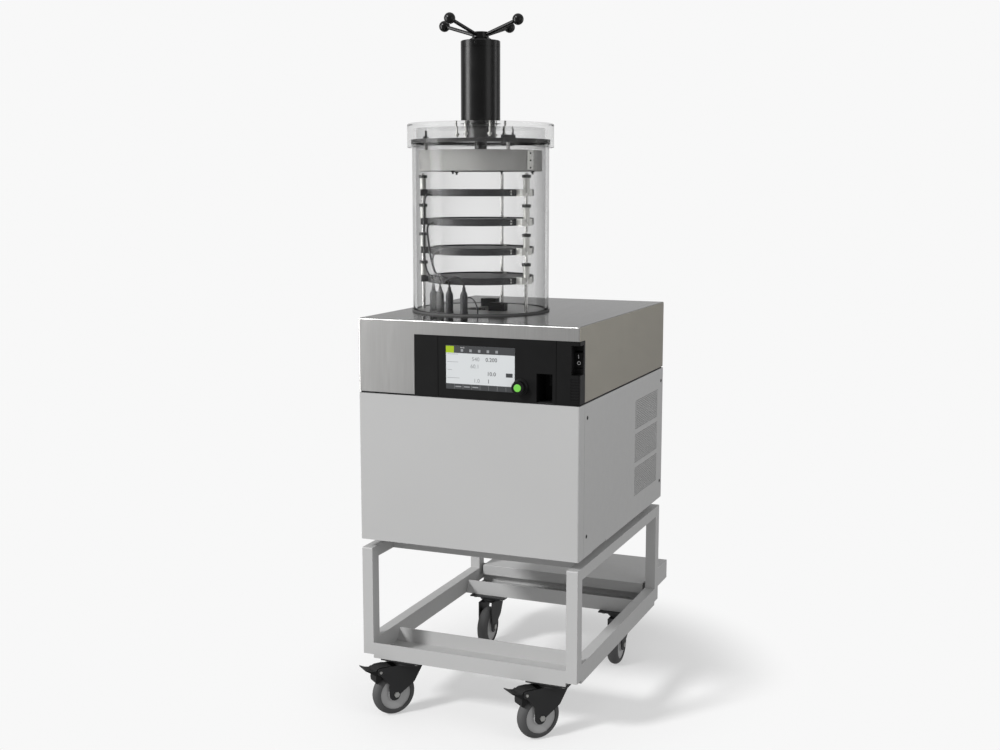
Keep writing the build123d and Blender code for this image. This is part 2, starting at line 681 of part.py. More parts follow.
with BuildPart() as rear_panel:
    block(-INSIDE, INSIDE, BACK - SHEET, BACK, HOUSING_Z, HOUSING_TOP)
    with BuildSketch(Plane((0, BACK, 0), x_dir=(1, 0, 0), z_dir=(0, -1, 0))):
        with Locations((PORT_X, HOUSING_Z + PORT_RISE)):
            Circle(PORT_TUBE_R + SLOT)
        with Locations((INLET_X, HOUSING_Z + INLET_RISE)):
            Rectangle(INLET_SHELL[0] + 2 * SLOT, INLET_SHELL[1] + 2 * SLOT)
    extrude(amount=SHEET, mode=Mode.SUBTRACT)
export(rear_panel, "rear_panel")

with BuildPart() as chassis_deck:
    with BuildSketch(Plane.XY.offset(HOUSING_TOP)):
        with Locations((0, (FRONT + BACK) / 2)):
            RectangleRounded(UNIT_WIDTH - 6, UNIT_DEPTH - 6, CORNER_R)
        with Locations((CHAMBER_X, CHAMBER_Y)):
            Circle(POT_R + SEAM, mode=Mode.SUBTRACT)
    extrude(amount=SEAM)
export(chassis_deck, "chassis_deck")

# =========================================================================================
# Steel cover and the black control fascia
# =========================================================================================
with BuildPart() as top_cover:
    with BuildSketch(Plane.XY.offset(COVER_Z)):
        with Locations((0, (FRONT + BACK) / 2)):
            RectangleRounded(UNIT_WIDTH, UNIT_DEPTH, CORNER_R)
    extrude(amount=COVER_HEIGHT)
    fillet(top_cover.edges().group_by(Axis.Z)[-1], CORNER_R - 1)
    offset(amount=-SHEET, openings=top_cover.faces().sort_by(Axis.Z)[0])
    block(
        FASCIA_LEFT, SIDE + 1, FRONT - 1, FRONT + PANEL_WRAP,
        COVER_Z - 1, COVER_TOP - FASCIA_DROP, Mode.SUBTRACT,
    )  # fmt: skip
    disc(CHAMBER_X, CHAMBER_Y, COVER_Z, COVER_TOP + 1, POT_R + 1, Mode.SUBTRACT)
export(top_cover, "top_cover")

FASCIA_TOP = COVER_TOP - FASCIA_DROP - SLOT
FASCIA_X0 = FASCIA_LEFT + SLOT
FASCIA_BACK = FRONT + PANEL_WRAP - SLOT
NOOK_TOP = COVER_TOP - NOOK_DROP
NOTCH_TOP = COVER_TOP - SWITCH_NOTCH_DROP
NOTCH_X = SIDE - SWITCH_NOTCH_WIDTH
NOTCH_BACK = FRONT + SWITCH_NOTCH_DEPTH
ROCKER_BACK = NOTCH_BACK + ROCKER_DEPTH + 4
ROCKER_X = (NOTCH_X + INSIDE - LOOSE) / 2
ROCKER_Z = NOTCH_TOP - SWITCH_NOTCH_HEIGHT / 2
KNOB_Z = COVER_TOP - KNOB_DROP
SCREEN_Z = COVER_TOP - SCREEN_DROP - SCREEN_HEIGHT / 2

with BuildPart() as fascia:
    block(FASCIA_X0, SIDE, FRONT, FASCIA_BACK, COVER_Z, FASCIA_TOP)
    fillet(fascia.edges().filter_by(Axis.Z).group_by(Axis.Y)[0].sort_by(Axis.X)[-1], CORNER_R)
    block(
        FASCIA_X0 + FASCIA_WALL, SIDE - FASCIA_WALL, FRONT + FASCIA_PLATE, FASCIA_BACK + 1,
        COVER_Z + FASCIA_WALL, FASCIA_TOP - FASCIA_WALL, Mode.SUBTRACT,
    )  # fmt: skip
    block(
        NOOK_X - NOOK_WALL, NOOK_X + NOOK_WIDTH + NOOK_WALL, FRONT + 1,
        FRONT + NOOK_DEPTH + NOOK_WALL, COVER_Z, NOOK_TOP + NOOK_WALL,
    )  # fmt: skip
    block(
        NOTCH_X - NOOK_WALL, INSIDE - LOOSE, FRONT + FASCIA_PLATE, ROCKER_BACK,
        NOTCH_TOP - SWITCH_NOTCH_HEIGHT - NOOK_WALL, NOTCH_TOP + NOOK_WALL,
    )  # fmt: skip
    block(
        NOOK_X, NOOK_X + NOOK_WIDTH, FRONT - 1, FRONT + NOOK_DEPTH, COVER_Z - 1, NOOK_TOP, Mode.SUBTRACT,
    )  # fmt: skip
    block(
        NOTCH_X, SIDE + 1, FRONT - 1, NOTCH_BACK,
        NOTCH_TOP - SWITCH_NOTCH_HEIGHT, NOTCH_TOP, Mode.SUBTRACT,
    )  # fmt: skip
    block(
        ROCKER_X - ROCKER_WIDTH / 2 - LOOSE, ROCKER_X + ROCKER_WIDTH / 2 + LOOSE,
        NOTCH_BACK - 1, ROCKER_BACK - 2,
        ROCKER_Z - ROCKER_HEIGHT / 2 - 2.5, ROCKER_Z + ROCKER_HEIGHT / 2 + 2.5, Mode.SUBTRACT,
    )  # fmt: skip
    with Locations((ROCKER_X, NOTCH_BACK + ROCKER_DEPTH / 2, ROCKER_Z)):
        Cylinder(
            ROCKER_PIN_R + RUNNING, ROCKER_WIDTH + 2, rotation=(0, 90, 0), mode=Mode.SUBTRACT
        )
    block(
        SCREEN_X - LOOSE, SCREEN_X + SCREEN_WIDTH + LOOSE, FRONT - 1, FRONT + SCREEN_THICKNESS + LOOSE,
        SCREEN_Z - SCREEN_HEIGHT / 2 - LOOSE, SCREEN_Z + SCREEN_HEIGHT / 2 + LOOSE, Mode.SUBTRACT,
    )  # fmt: skip
    for x in MODULE_LINES:
        block(
            x - LINE_WIDTH / 2, x + LINE_WIDTH / 2, FRONT - 1, FRONT + LINE_DEPTH,
            COVER_Z - 1, FASCIA_TOP + 1, Mode.SUBTRACT,
        )  # fmt: skip
    for n in range(RIB_COUNT):
        z = COVER_TOP - RIB_DROP - n * RIB_PITCH
        block(
            SIDE - RIB_WIDTH, SIDE - 1, FRONT - 1, FRONT + LINE_DEPTH, z - RIB_PITCH / 2, z, Mode.SUBTRACT
        )
    with Locations((KNOB_X, FRONT, KNOB_Z)):
        Cylinder(KNOB_SHAFT_R + RUNNING, 4 * FASCIA_PLATE, rotation=(90, 0, 0), mode=Mode.SUBTRACT)
export(fascia, "fascia")

with BuildPart() as display_screen:
    block(
        SCREEN_X, SCREEN_X + SCREEN_WIDTH, FRONT + LOOSE, FRONT + LOOSE + SCREEN_THICKNESS,
        SCREEN_Z - SCREEN_HEIGHT / 2, SCREEN_Z + SCREEN_HEIGHT / 2,
    )  # fmt: skip
    chamfer(display_screen.faces().sort_by(Axis.Y)[0].edges(), 0.4)
export(display_screen, "display_screen")

knob_axis = Plane((KNOB_X, FRONT, KNOB_Z), x_dir=(1, 0, 0), z_dir=(0, -1, 0))
knob_section = Plane((KNOB_X, FRONT, KNOB_Z), x_dir=(1, 0, 0), z_dir=(0, 0, 1))
BUTTON_SEAT = KNOB_LENGTH - BUTTON_LENGTH - BUTTON_TRAVEL + 1
with BuildPart() as control_knob:
    with BuildSketch(knob_section):
        with BuildLine():
            Polyline(
                (0, FASCIA_PLATE + 2), (KNOB_SHAFT_R, FASCIA_PLATE + 2), (KNOB_SHAFT_R, -LOOSE),
                (KNOB_BASE_R, -LOOSE), (KNOB_BASE_R, -3), (KNOB_R, -6), (KNOB_R, -KNOB_LENGTH + 1),
                (KNOB_R - 1, -KNOB_LENGTH), (BUTTON_R + RUNNING, -KNOB_LENGTH),
                (BUTTON_R + RUNNING, -BUTTON_SEAT), (0, -BUTTON_SEAT), close=True,
            )  # fmt: skip
        make_face()
    revolve(axis=Axis((KNOB_X, FRONT, KNOB_Z), (0, 1, 0)))
export(control_knob, "control_knob")

with BuildPart() as knob_button:
    with BuildSketch(knob_axis.offset(BUTTON_SEAT + BUTTON_TRAVEL)):
        Circle(BUTTON_R)
    extrude(amount=BUTTON_LENGTH)
    fillet(knob_button.edges().sort_by(Axis.Y)[0], 1)
export(knob_button, "knob_button")

with BuildPart() as power_rocker:
    rocker_side = Plane(
        (ROCKER_X, NOTCH_BACK + ROCKER_DEPTH / 2, ROCKER_Z), x_dir=(0, 1, 0), z_dir=(1, 0, 0)
    )
    with BuildSketch(rocker_side.rotated((ROCKER_TILT, 0, 0))):
        half = ROCKER_HEIGHT / 2
        with BuildLine():
            Polyline(
                (-ROCKER_DEPTH / 2, 0), (-ROCKER_DEPTH / 2 - 2.5, half), (0, half - 1),
                (ROCKER_DEPTH / 2, 4), (ROCKER_DEPTH / 2, -4), (0, -half + 1),
                (-ROCKER_DEPTH / 2 - 2.5, -half), close=True,
            )  # fmt: skip
        make_face()
    extrude(amount=ROCKER_WIDTH / 2, both=True)
    with BuildSketch(rocker_side):
        Circle(ROCKER_PIN_R)
    extrude(amount=ROCKER_WIDTH / 2 + 0.9, both=True)
export(power_rocker, "power_rocker")

with BuildPart() as drain_nozzle:
    nozzle_x = NOOK_X + NOOK_WIDTH / 2
    nozzle_y = FRONT + NOOK_DEPTH - NOZZLE_FROM_BACK
    nozzle_end = NOOK_TOP - NOZZLE_LENGTH
    bead_z = nozzle_end + NOZZLE_BEAD[1]
    disc(nozzle_x, nozzle_y, NOOK_TOP - NOZZLE_FLANGE[1], NOOK_TOP, NOZZLE_FLANGE[0])
    disc(nozzle_x, nozzle_y, nozzle_end, NOOK_TOP - NOZZLE_FLANGE[1], NOZZLE_R)
    disc(nozzle_x, nozzle_y, bead_z, bead_z + NOZZLE_BEAD[1], NOZZLE_BEAD[0])
    disc(nozzle_x, nozzle_y, nozzle_end, NOOK_TOP, NOZZLE_BORE_R, Mode.SUBTRACT)
export(drain_nozzle, "drain_nozzle")

# =========================================================================================
# Ice condenser below the cover, with its floor plate, coil and vacuum pipe
# =========================================================================================
POT_FLOOR = COVER_TOP - POT_DEPTH
POT_INNER = POT_R - POT_WALL
FLANGE_R = GASKET_INNER_R - SLOT
CONE = (20, 12)  # the sloping floor round the spout, across and down
CORNER = 22  # height of the pot's slanted lower corner
PORT_Z = HOUSING_Z + PORT_RISE
CHAMBER_AXIS = Axis((CHAMBER_X, CHAMBER_Y, 0), (0, 0, 1))
CHAMBER_SECTION = Plane((CHAMBER_X, CHAMBER_Y, 0), x_dir=(1, 0, 0), z_dir=(0, -1, 0))

with BuildPart() as condenser_pot:
    with BuildSketch(CHAMBER_SECTION):
        with BuildLine():
            Polyline(
                (POT_SPOUT_R - POT_WALL, POT_FLOOR), (POT_R - CONE[0], POT_FLOOR + CONE[1]),
                (POT_R, POT_FLOOR + CONE[1] + CORNER), (POT_R, COVER_TOP), (POT_INNER, COVER_TOP),
                (POT_INNER, POT_FLOOR + CONE[1] + CORNER + POT_WALL / 2),
                (POT_R - CONE[0] - POT_WALL / 2, POT_FLOOR + CONE[1] + POT_WALL),
                (POT_SPOUT_R - POT_WALL, POT_FLOOR + POT_WALL), close=True,
            )  # fmt: skip
        make_face()
    revolve(axis=CHAMBER_AXIS)
    spout_length = POT_SPOUT_R * 2
    disc(CHAMBER_X, CHAMBER_Y, POT_FLOOR - spout_length, POT_FLOOR + POT_WALL, POT_SPOUT_R)
    disc(
        CHAMBER_X, CHAMBER_Y, POT_FLOOR - spout_length - 1, POT_FLOOR + 2 * POT_WALL,
        POT_SPOUT_R - POT_WALL, Mode.SUBTRACT,
    )  # fmt: skip
    with BuildSketch(Plane((PORT_X, CHAMBER_Y, PORT_Z), x_dir=(1, 0, 0), z_dir=(0, 1, 0))):
        Circle(PORT_TUBE_R + RUNNING)
    extrude(amount=POT_R + 1, mode=Mode.SUBTRACT)
export(condenser_pot, "condenser_pot")

with BuildPart() as chamber_floor:
    disc(CHAMBER_X, CHAMBER_Y, COVER_TOP, FLOOR_Z, FLANGE_R)
    disc(CHAMBER_X, CHAMBER_Y, COVER_TOP, FLOOR_Z, MOUTH_R, Mode.SUBTRACT)
export(chamber_floor, "chamber_floor")

COIL_BOTTOM = COVER_TOP - COIL_TOP - (COIL_TURNS - 1) * COIL_PITCH
with BuildPart() as condenser_coil:
    for turn in range(COIL_TURNS):
        with BuildSketch(CHAMBER_SECTION):
            with Locations((COIL_R, COVER_TOP - COIL_TOP - turn * COIL_PITCH)):
                RegularPolygon(COIL_TUBE_R, 8)
    revolve(axis=CHAMBER_AXIS)
    strap_r = (COIL_R + COIL_TUBE_R + POT_INNER) / 2
    for bearing in STRAP_BEARINGS:
        x, y = round_about_chamber(strap_r, bearing)
        with Locations(Location((x, y, (COVER_TOP + COIL_BOTTOM) / 2), (0, 0, bearing))):
            Box(POT_INNER - COIL_R - COIL_TUBE_R - LOOSE, 2 * COIL_TUBE_R, COVER_TOP - COIL_BOTTOM)
export(condenser_coil, "condenser_coil")

PORT_INSIDE = CHAMBER_Y + POT_INNER - LOOSE  # the pipe ends just inside the pot's wall
PORT_END = BACK + PORT_LENGTH
with BuildPart() as vacuum_port:
    with BuildSketch(Plane((PORT_X, PORT_INSIDE, PORT_Z), x_dir=(1, 0, 0), z_dir=(0, 1, 0))):
        Circle(PORT_TUBE_R)
    extrude(amount=PORT_END - PORT_INSIDE)
    with BuildSketch(Plane((PORT_X, PORT_END, PORT_Z), x_dir=(1, 0, 0), z_dir=(0, -1, 0))):
        Circle(PORT_FLANGE_R)
    extrude(amount=PORT_FLANGE, taper=15)
    with BuildSketch(Plane((PORT_X, PORT_END, PORT_Z), x_dir=(1, 0, 0), z_dir=(0, -1, 0))):
        Circle(PORT_BORE_R)
    extrude(amount=PORT_BORE_LENGTH, mode=Mode.SUBTRACT)
    with BuildSketch(Plane((PORT_X, PORT_END, PORT_Z), x_dir=(1, 0, 0), z_dir=(0, -1, 0))):
        Circle(PORT_TUBE_R - PORT_WALL)
    extrude(amount=PORT_END - PORT_INSIDE + 1, mode=Mode.SUBTRACT)
export(vacuum_port, "vacuum_port")

# =========================================================================================
# Clear drying chamber: cylinder between two ring gaskets, under its lid
# =========================================================================================
with BuildPart() as chamber_gaskets:
    for z0 in (COVER_TOP, CYLINDER_TOP):
        disc(CHAMBER_X, CHAMBER_Y, z0, z0 + GASKET, GASKET_R)
        disc(CHAMBER_X, CHAMBER_Y, z0, z0 + GASKET, GASKET_INNER_R, Mode.SUBTRACT)
export(chamber_gaskets, "chamber_gaskets")

with BuildPart() as chamber_cylinder:
    disc(CHAMBER_X, CHAMBER_Y, CYLINDER_Z, CYLINDER_TOP, CYLINDER_R)
    disc(
        CHAMBER_X, CHAMBER_Y, CYLINDER_Z, CYLINDER_TOP, CYLINDER_R - CYLINDER_WALL, Mode.SUBTRACT
    )
export(chamber_cylinder, "chamber_cylinder")

with BuildPart() as lid:
    disc(CHAMBER_X, CHAMBER_Y, LID_SEAT - LID_SKIRT, LID_TOP, LID_R)
    chamfer(lid.edges().group_by(Axis.Z)[-1], 2)
    disc(CHAMBER_X, CHAMBER_Y, LID_SEAT - LID_SKIRT, LID_SEAT, GASKET_R + LOOSE, Mode.SUBTRACT)
    disc(
        CHAMBER_X, CHAMBER_Y, LID_SEAT, LID_TOP - LID_DISC, GASKET_INNER_R, Mode.SUBTRACT
    )
    disc(CHAMBER_X, CHAMBER_Y, LID_TOP - LID_DISC, LID_TOP, SPIGOT_R + RUNNING, Mode.SUBTRACT)
    chamfer(lid.edges().group_by(Axis.Z)[0], 1)
export(lid, "lid")

# =========================================================================================
# Stoppering drive: tube on the lid, handle and spindle, piston rod and pressure plate
# =========================================================================================
CAP_Z = LID_TOP + TUBE_HEIGHT
TUBE_TOP = CAP_Z + CAP_HEIGHT
TUBE_FLOOR = 8
with BuildPart() as stoppering_tube:
    disc(CHAMBER_X, CHAMBER_Y, LID_TOP, TUBE_TOP, TUBE_R)
    chamfer(stoppering_tube.edges().group_by(Axis.Z)[-1], 1.5)
    with BuildSketch(AXIS.offset(CAP_Z)):
        Circle(TUBE_R)
        Circle(TUBE_R - LINE_DEPTH, mode=Mode.SUBTRACT)
    extrude(amount=-LINE_WIDTH, mode=Mode.SUBTRACT)
    disc(
        CHAMBER_X, CHAMBER_Y, LID_TOP + TUBE_FLOOR, CAP_Z - LINE_WIDTH, TUBE_BORE_R, Mode.SUBTRACT
    )
    disc(CHAMBER_X, CHAMBER_Y, LID_TOP - SPIGOT_LENGTH, LID_TOP, SPIGOT_R)
    disc(
        CHAMBER_X, CHAMBER_Y, LID_TOP - SPIGOT_LENGTH, LID_TOP + TUBE_FLOOR, PISTON_R + RUNNING,
        Mode.SUBTRACT,
    )  # fmt: skip
    disc(CHAMBER_X, CHAMBER_Y, CAP_Z - LINE_WIDTH, TUBE_TOP, SPINDLE_R + RUNNING, Mode.SUBTRACT)
export(stoppering_tube, "stoppering_tube")

HUB_Z = TUBE_TOP + LOOSE
HUB_RIM = 2
HUB_SHOULDER = 7
SPINDLE_Z = HUB_Z - SPINDLE_LENGTH
with BuildPart() as stoppering_handle:
    with BuildSketch(CHAMBER_SECTION):
        with BuildLine():
            Polyline(
                (0, HUB_Z), (HUB_R, HUB_Z), (HUB_R, HUB_Z + HUB_RIM),
                (HUB_TOP_R, HUB_Z + HUB_SHOULDER), (HUB_TOP_R, HUB_Z + HUB_HEIGHT - 1),
                (HUB_TOP_R - 1, HUB_Z + HUB_HEIGHT), (0, HUB_Z + HUB_HEIGHT), close=True,
            )  # fmt: skip
        make_face()
    revolve(axis=CHAMBER_AXIS)
    disc(CHAMBER_X, CHAMBER_Y, SPINDLE_Z, HUB_Z + HUB_RIM, SPINDLE_R)
    arm_foot = HUB_Z + ARM_FOOT
    for n in range(ARM_COUNT):
        bearing = ARM_BEARING + n * 360 / ARM_COUNT
        foot = Vector(*round_about_chamber(HUB_TOP_R / 2, bearing), arm_foot)
        ball = Vector(*round_about_chamber(ARM_REACH, bearing), arm_foot + ARM_RISE)
        along = ball - foot
        sideways = (-sin(radians(bearing)), cos(radians(bearing)), 0)
        reach = along.length
        neck = reach - sqrt(BALL_R**2 - ARM_R**2)
        with BuildSketch(Plane(foot, x_dir=along, z_dir=sideways)):
            with BuildLine():
                Polyline((neck, ARM_R), (0, ARM_R), (0, 0), (reach + BALL_R, 0))
                ThreePointArc((reach + BALL_R, 0), (reach, BALL_R), (neck, ARM_R))
            make_face()
        revolve(axis=Axis(foot, along))
export(stoppering_handle, "stoppering_handle")

TOP_SHELF_Z = COVER_TOP + LOWEST_SHELF + (SHELF_COUNT - 1) * SHELF_PITCH
COLLAR_RISE = SLEEVE_LENGTH + COLLAR_HEIGHT
PLATE_Z0 = TOP_SHELF_Z + SHELF_THICKNESS + COLLAR_RISE + PLATE_GAP
PLATE_FLOOR_TOP = PLATE_Z0 + PLATE_FLOOR
with BuildPart() as piston_rod:
    disc(CHAMBER_X, CHAMBER_Y, PLATE_FLOOR_TOP, PLATE_FLOOR_TOP + PISTON_LENGTH, PISTON_R)
    disc(
        CHAMBER_X, CHAMBER_Y, SPINDLE_Z - SPINDLE_ROOM, PLATE_FLOOR_TOP + PISTON_LENGTH,
        SPINDLE_R + RUNNING, Mode.SUBTRACT,
    )  # fmt: skip
    chamfer(piston_rod.edges().group_by(Axis.Z)[-1], 1)
export(piston_rod, "piston_rod")

BRACKET_Z = PLATE_Z0 + PLATE_HEIGHT + BRACKET_RISE
with BuildPart() as pressure_plate:
    disc(CHAMBER_X, CHAMBER_Y, PLATE_Z0, PLATE_Z0 + PLATE_HEIGHT, PLATE_R)
    fillet(pressure_plate.edges().group_by(Axis.Z)[0], 1.5)
    disc(
        CHAMBER_X, CHAMBER_Y, PLATE_FLOOR_TOP, PLATE_Z0 + PLATE_HEIGHT, PLATE_R - PLATE_SHEET,
        Mode.SUBTRACT,
    )  # fmt: skip
    disc(CHAMBER_X, CHAMBER_Y, PLATE_Z0, PLATE_FLOOR_TOP + PLATE_BOSS_HEIGHT, PLATE_BOSS_R)
    chamfer(
        pressure_plate.faces().filter_by(GeomType.PLANE).group_by(Axis.Z)[-2].edges(), 1
    )
    disc(
        CHAMBER_X, CHAMBER_Y, PLATE_FLOOR_TOP, PLATE_FLOOR_TOP + PLATE_BOSS_HEIGHT, PISTON_R,
        Mode.SUBTRACT,
    )  # fmt: skip
    for bearing in ROD_BEARINGS:
        x, y = round_about_chamber(ROD_CIRCLE, bearing)
        disc(x, y, PLATE_Z0, PLATE_FLOOR_TOP, ROD_R + LOOSE, Mode.SUBTRACT)
    for bearing in BRACKET_BEARINGS:
        x, y = round_about_chamber(BRACKET_CIRCLE, bearing)
        disc(x, y, PLATE_FLOOR_TOP, BRACKET_Z, STEM_R)
        with Locations(Location((x, y, BRACKET_Z + BRACKET_HEIGHT / 2), (0, 0, bearing))):
            Box(BRACKET_DEPTH, BRACKET_WIDTH, BRACKET_HEIGHT)
            for along in (-BRACKET_SCREW_SPACING / 2, BRACKET_SCREW_SPACING / 2):
                with Locations((0, along, (BRACKET_HEIGHT + BRACKET_SCREW_LENGTH) / 2)):
                    Cylinder(BRACKET_SCREW_R, BRACKET_SCREW_LENGTH)
export(pressure_plate, "pressure_plate")

# =========================================================================================
# Guide rods, and the shelves with the lugs and sleeves that slide on them
# =========================================================================================
ROD_TOP = PLATE_Z0 - PLATE_GAP / 2
with BuildPart() as guide_rods:
    for bearing in ROD_BEARINGS:
        disc(*round_about_chamber(ROD_CIRCLE, bearing), FLOOR_Z, ROD_TOP, ROD_R)
    chamfer(guide_rods.edges().group_by(Axis.Z)[-1], 1)
export(guide_rods, "guide_rods")

LUG_FROM = SHELF_R - 12
LUG_LENGTH = ROD_CIRCLE + LUG_REACH - LUG_FROM
for n in range(SHELF_COUNT):
    level = TOP_SHELF_Z - n * SHELF_PITCH
    shelf_top = level + SHELF_THICKNESS
    middle = level + SHELF_THICKNESS / 2
    lugs = [Location((CHAMBER_X, CHAMBER_Y, middle), (0, 0, turn)) for turn in ROD_BEARINGS]

    with BuildPart() as shelf:
        disc(CHAMBER_X, CHAMBER_Y, level, shelf_top, SHELF_R)
        fillet(shelf.edges().filter_by(GeomType.CIRCLE), 1)
        disc(
            CHAMBER_X, CHAMBER_Y, shelf_top - SHELF_POCKET, shelf_top, SHELF_R - SHELF_RIM,
            Mode.SUBTRACT,
        )  # fmt: skip
        with Locations(
            Location((CHAMBER_X, CHAMBER_Y, level + GLAND_RISE), (0, 0, GLAND_BEARINGS[n]))
        ):
            with Locations((SHELF_R, 0, 0)):
                Cylinder(GLAND_R, 2 * GLAND_LENGTH, rotation=(0, 90, 0))
        with Locations(lugs):
            with Locations((LUG_FROM + LUG_LENGTH / 2, 0, 0)):
                Box(LUG_LENGTH, LUG_WIDTH + 2 * LOOSE, SHELF_THICKNESS, mode=Mode.SUBTRACT)
    export(shelf, f"shelf_{n + 1}")

    with BuildPart() as shelf_guides:
        with Locations(lugs):
            with Locations((LUG_FROM + LUG_LENGTH / 2, 0, 0)):
                Box(LUG_LENGTH, LUG_WIDTH, SHELF_THICKNESS)
        fillet(shelf_guides.edges().filter_by(Axis.Z), 1.5)
        for bearing in SIDE_RODS:
            x, y = round_about_chamber(ROD_CIRCLE, bearing)
            disc(x, y, middle, shelf_top + SLEEVE_LENGTH, SLEEVE_R)
            disc(x, y, shelf_top + SLEEVE_LENGTH, shelf_top + COLLAR_RISE, COLLAR_R)
        chamfer(shelf_guides.edges().group_by(Axis.Z)[-1], 1)
        for bearing in ROD_BEARINGS:
            x, y = round_about_chamber(ROD_CIRCLE, bearing)
            disc(x, y, level, shelf_top + COLLAR_RISE, ROD_R + RUNNING, Mode.SUBTRACT)
    export(shelf_guides, f"shelf_{n + 1}_guides")

# =========================================================================================
# On the chamber's floor: plugs, terminal blocks and the leads
# =========================================================================================
PLUG_TOP = FLOOR_Z + PLUG_BODY + PLUG_RELIEF
with BuildPart() as lead_plugs:
    for bearing in PLUG_BEARINGS:
        x, y = round_about_chamber(PLUG_CIRCLE, bearing)
        disc(x, y, FLOOR_Z, FLOOR_Z + PLUG_BODY, PLUG_R)
        with BuildSketch(Plane((x, y, FLOOR_Z + PLUG_BODY))):
            Circle(PLUG_R - 1)
        with BuildSketch(Plane((x, y, FLOOR_Z + PLUG_BODY + PLUG_RELIEF / 2))):
            Circle(PLUG_R - 2)
        with BuildSketch(Plane((x, y, PLUG_TOP))):
            Circle(PLUG_NECK_R)
        loft(ruled=True)
export(lead_plugs, "lead_plugs")

with BuildPart() as terminal_blocks:
    for radius, bearing in BLOCK_PLACES:
        with Locations((*round_about_chamber(radius, bearing), FLOOR_Z + BLOCK_SIZE[2] / 2)):
            Box(*BLOCK_SIZE)
    chamfer(terminal_blocks.edges().group_by(Axis.Z)[-1], 1)
export(terminal_blocks, "terminal_blocks")

for name, route in LEAD_ROUTES.items():
    tube_r = SENSOR_LEAD_R if name == "lead_sensor" else LEAD_R
    points = [Vector(*round_about_chamber(r, b), COVER_TOP + h) for r, b, h in route]
    runs = [end - start for start, end in zip(points, points[1:])]
    radii = []
    for before, after in zip(runs, runs[1:]):
        half_turn = radians(before.get_angle(after)) / 2
        radii.append(0.45 * min(before.length, after.length) / tan(half_turn))
    with BuildPart() as lead:
        with BuildLine() as centre_line:
            FilletPolyline(*points, radius=radii)
        with BuildSketch(Plane(points[0], z_dir=runs[0])):
            Circle(tube_r)
        sweep()
    length = sum(edge.length for edge in centre_line.edges())
    print(
        name, "length", round(length, 1), "smallest radius in diameters",
        round(min(radii) / tube_r / 2, 1), "volume over section times length",
        round(lead.part.volume / (length * pi * tube_r**2), 4),
    )  # fmt: skip
    export(lead, name)

# =========================================================================================
# Inside and behind: compressor, heat exchanger with its fan, mains inlet
# =========================================================================================
PAN_Z = HOUSING_Z + SHEET
compressor_x, compressor_y = COMPRESSOR_PLACE[0], FRONT + COMPRESSOR_PLACE[1]
COMPRESSOR_Z = PAN_Z + COMPRESSOR_FOOT
SEAM_Z = COMPRESSOR_Z + (COMPRESSOR_HEIGHT - COMPRESSOR_SEAM[1]) / 2
with BuildPart() as compressor:
    disc(
        compressor_x, compressor_y, COMPRESSOR_Z + FLANGE_SHEET, COMPRESSOR_Z + COMPRESSOR_HEIGHT,
        COMPRESSOR_R - COMPRESSOR_SEAM[0],
    )  # fmt: skip
    fillet(compressor.edges().group_by(Axis.Z)[-1], COMPRESSOR_R / 2)
    disc(compressor_x, compressor_y, SEAM_Z, SEAM_Z + COMPRESSOR_SEAM[1], COMPRESSOR_R)
    with Locations((compressor_x, compressor_y, COMPRESSOR_Z + FLANGE_SHEET / 2)):
        Box(2 * COMPRESSOR_R, 2 * COMPRESSOR_R, FLANGE_SHEET)
    foot_spacing = 2 * (COMPRESSOR_R - COMPRESSOR_FOOT)
    with Locations((compressor_x, compressor_y, PAN_Z + COMPRESSOR_FOOT / 2)):
        with GridLocations(foot_spacing, foot_spacing, 2, 2):
            Cylinder(COMPRESSOR_FOOT - 1, COMPRESSOR_FOOT)
export(compressor, "compressor")

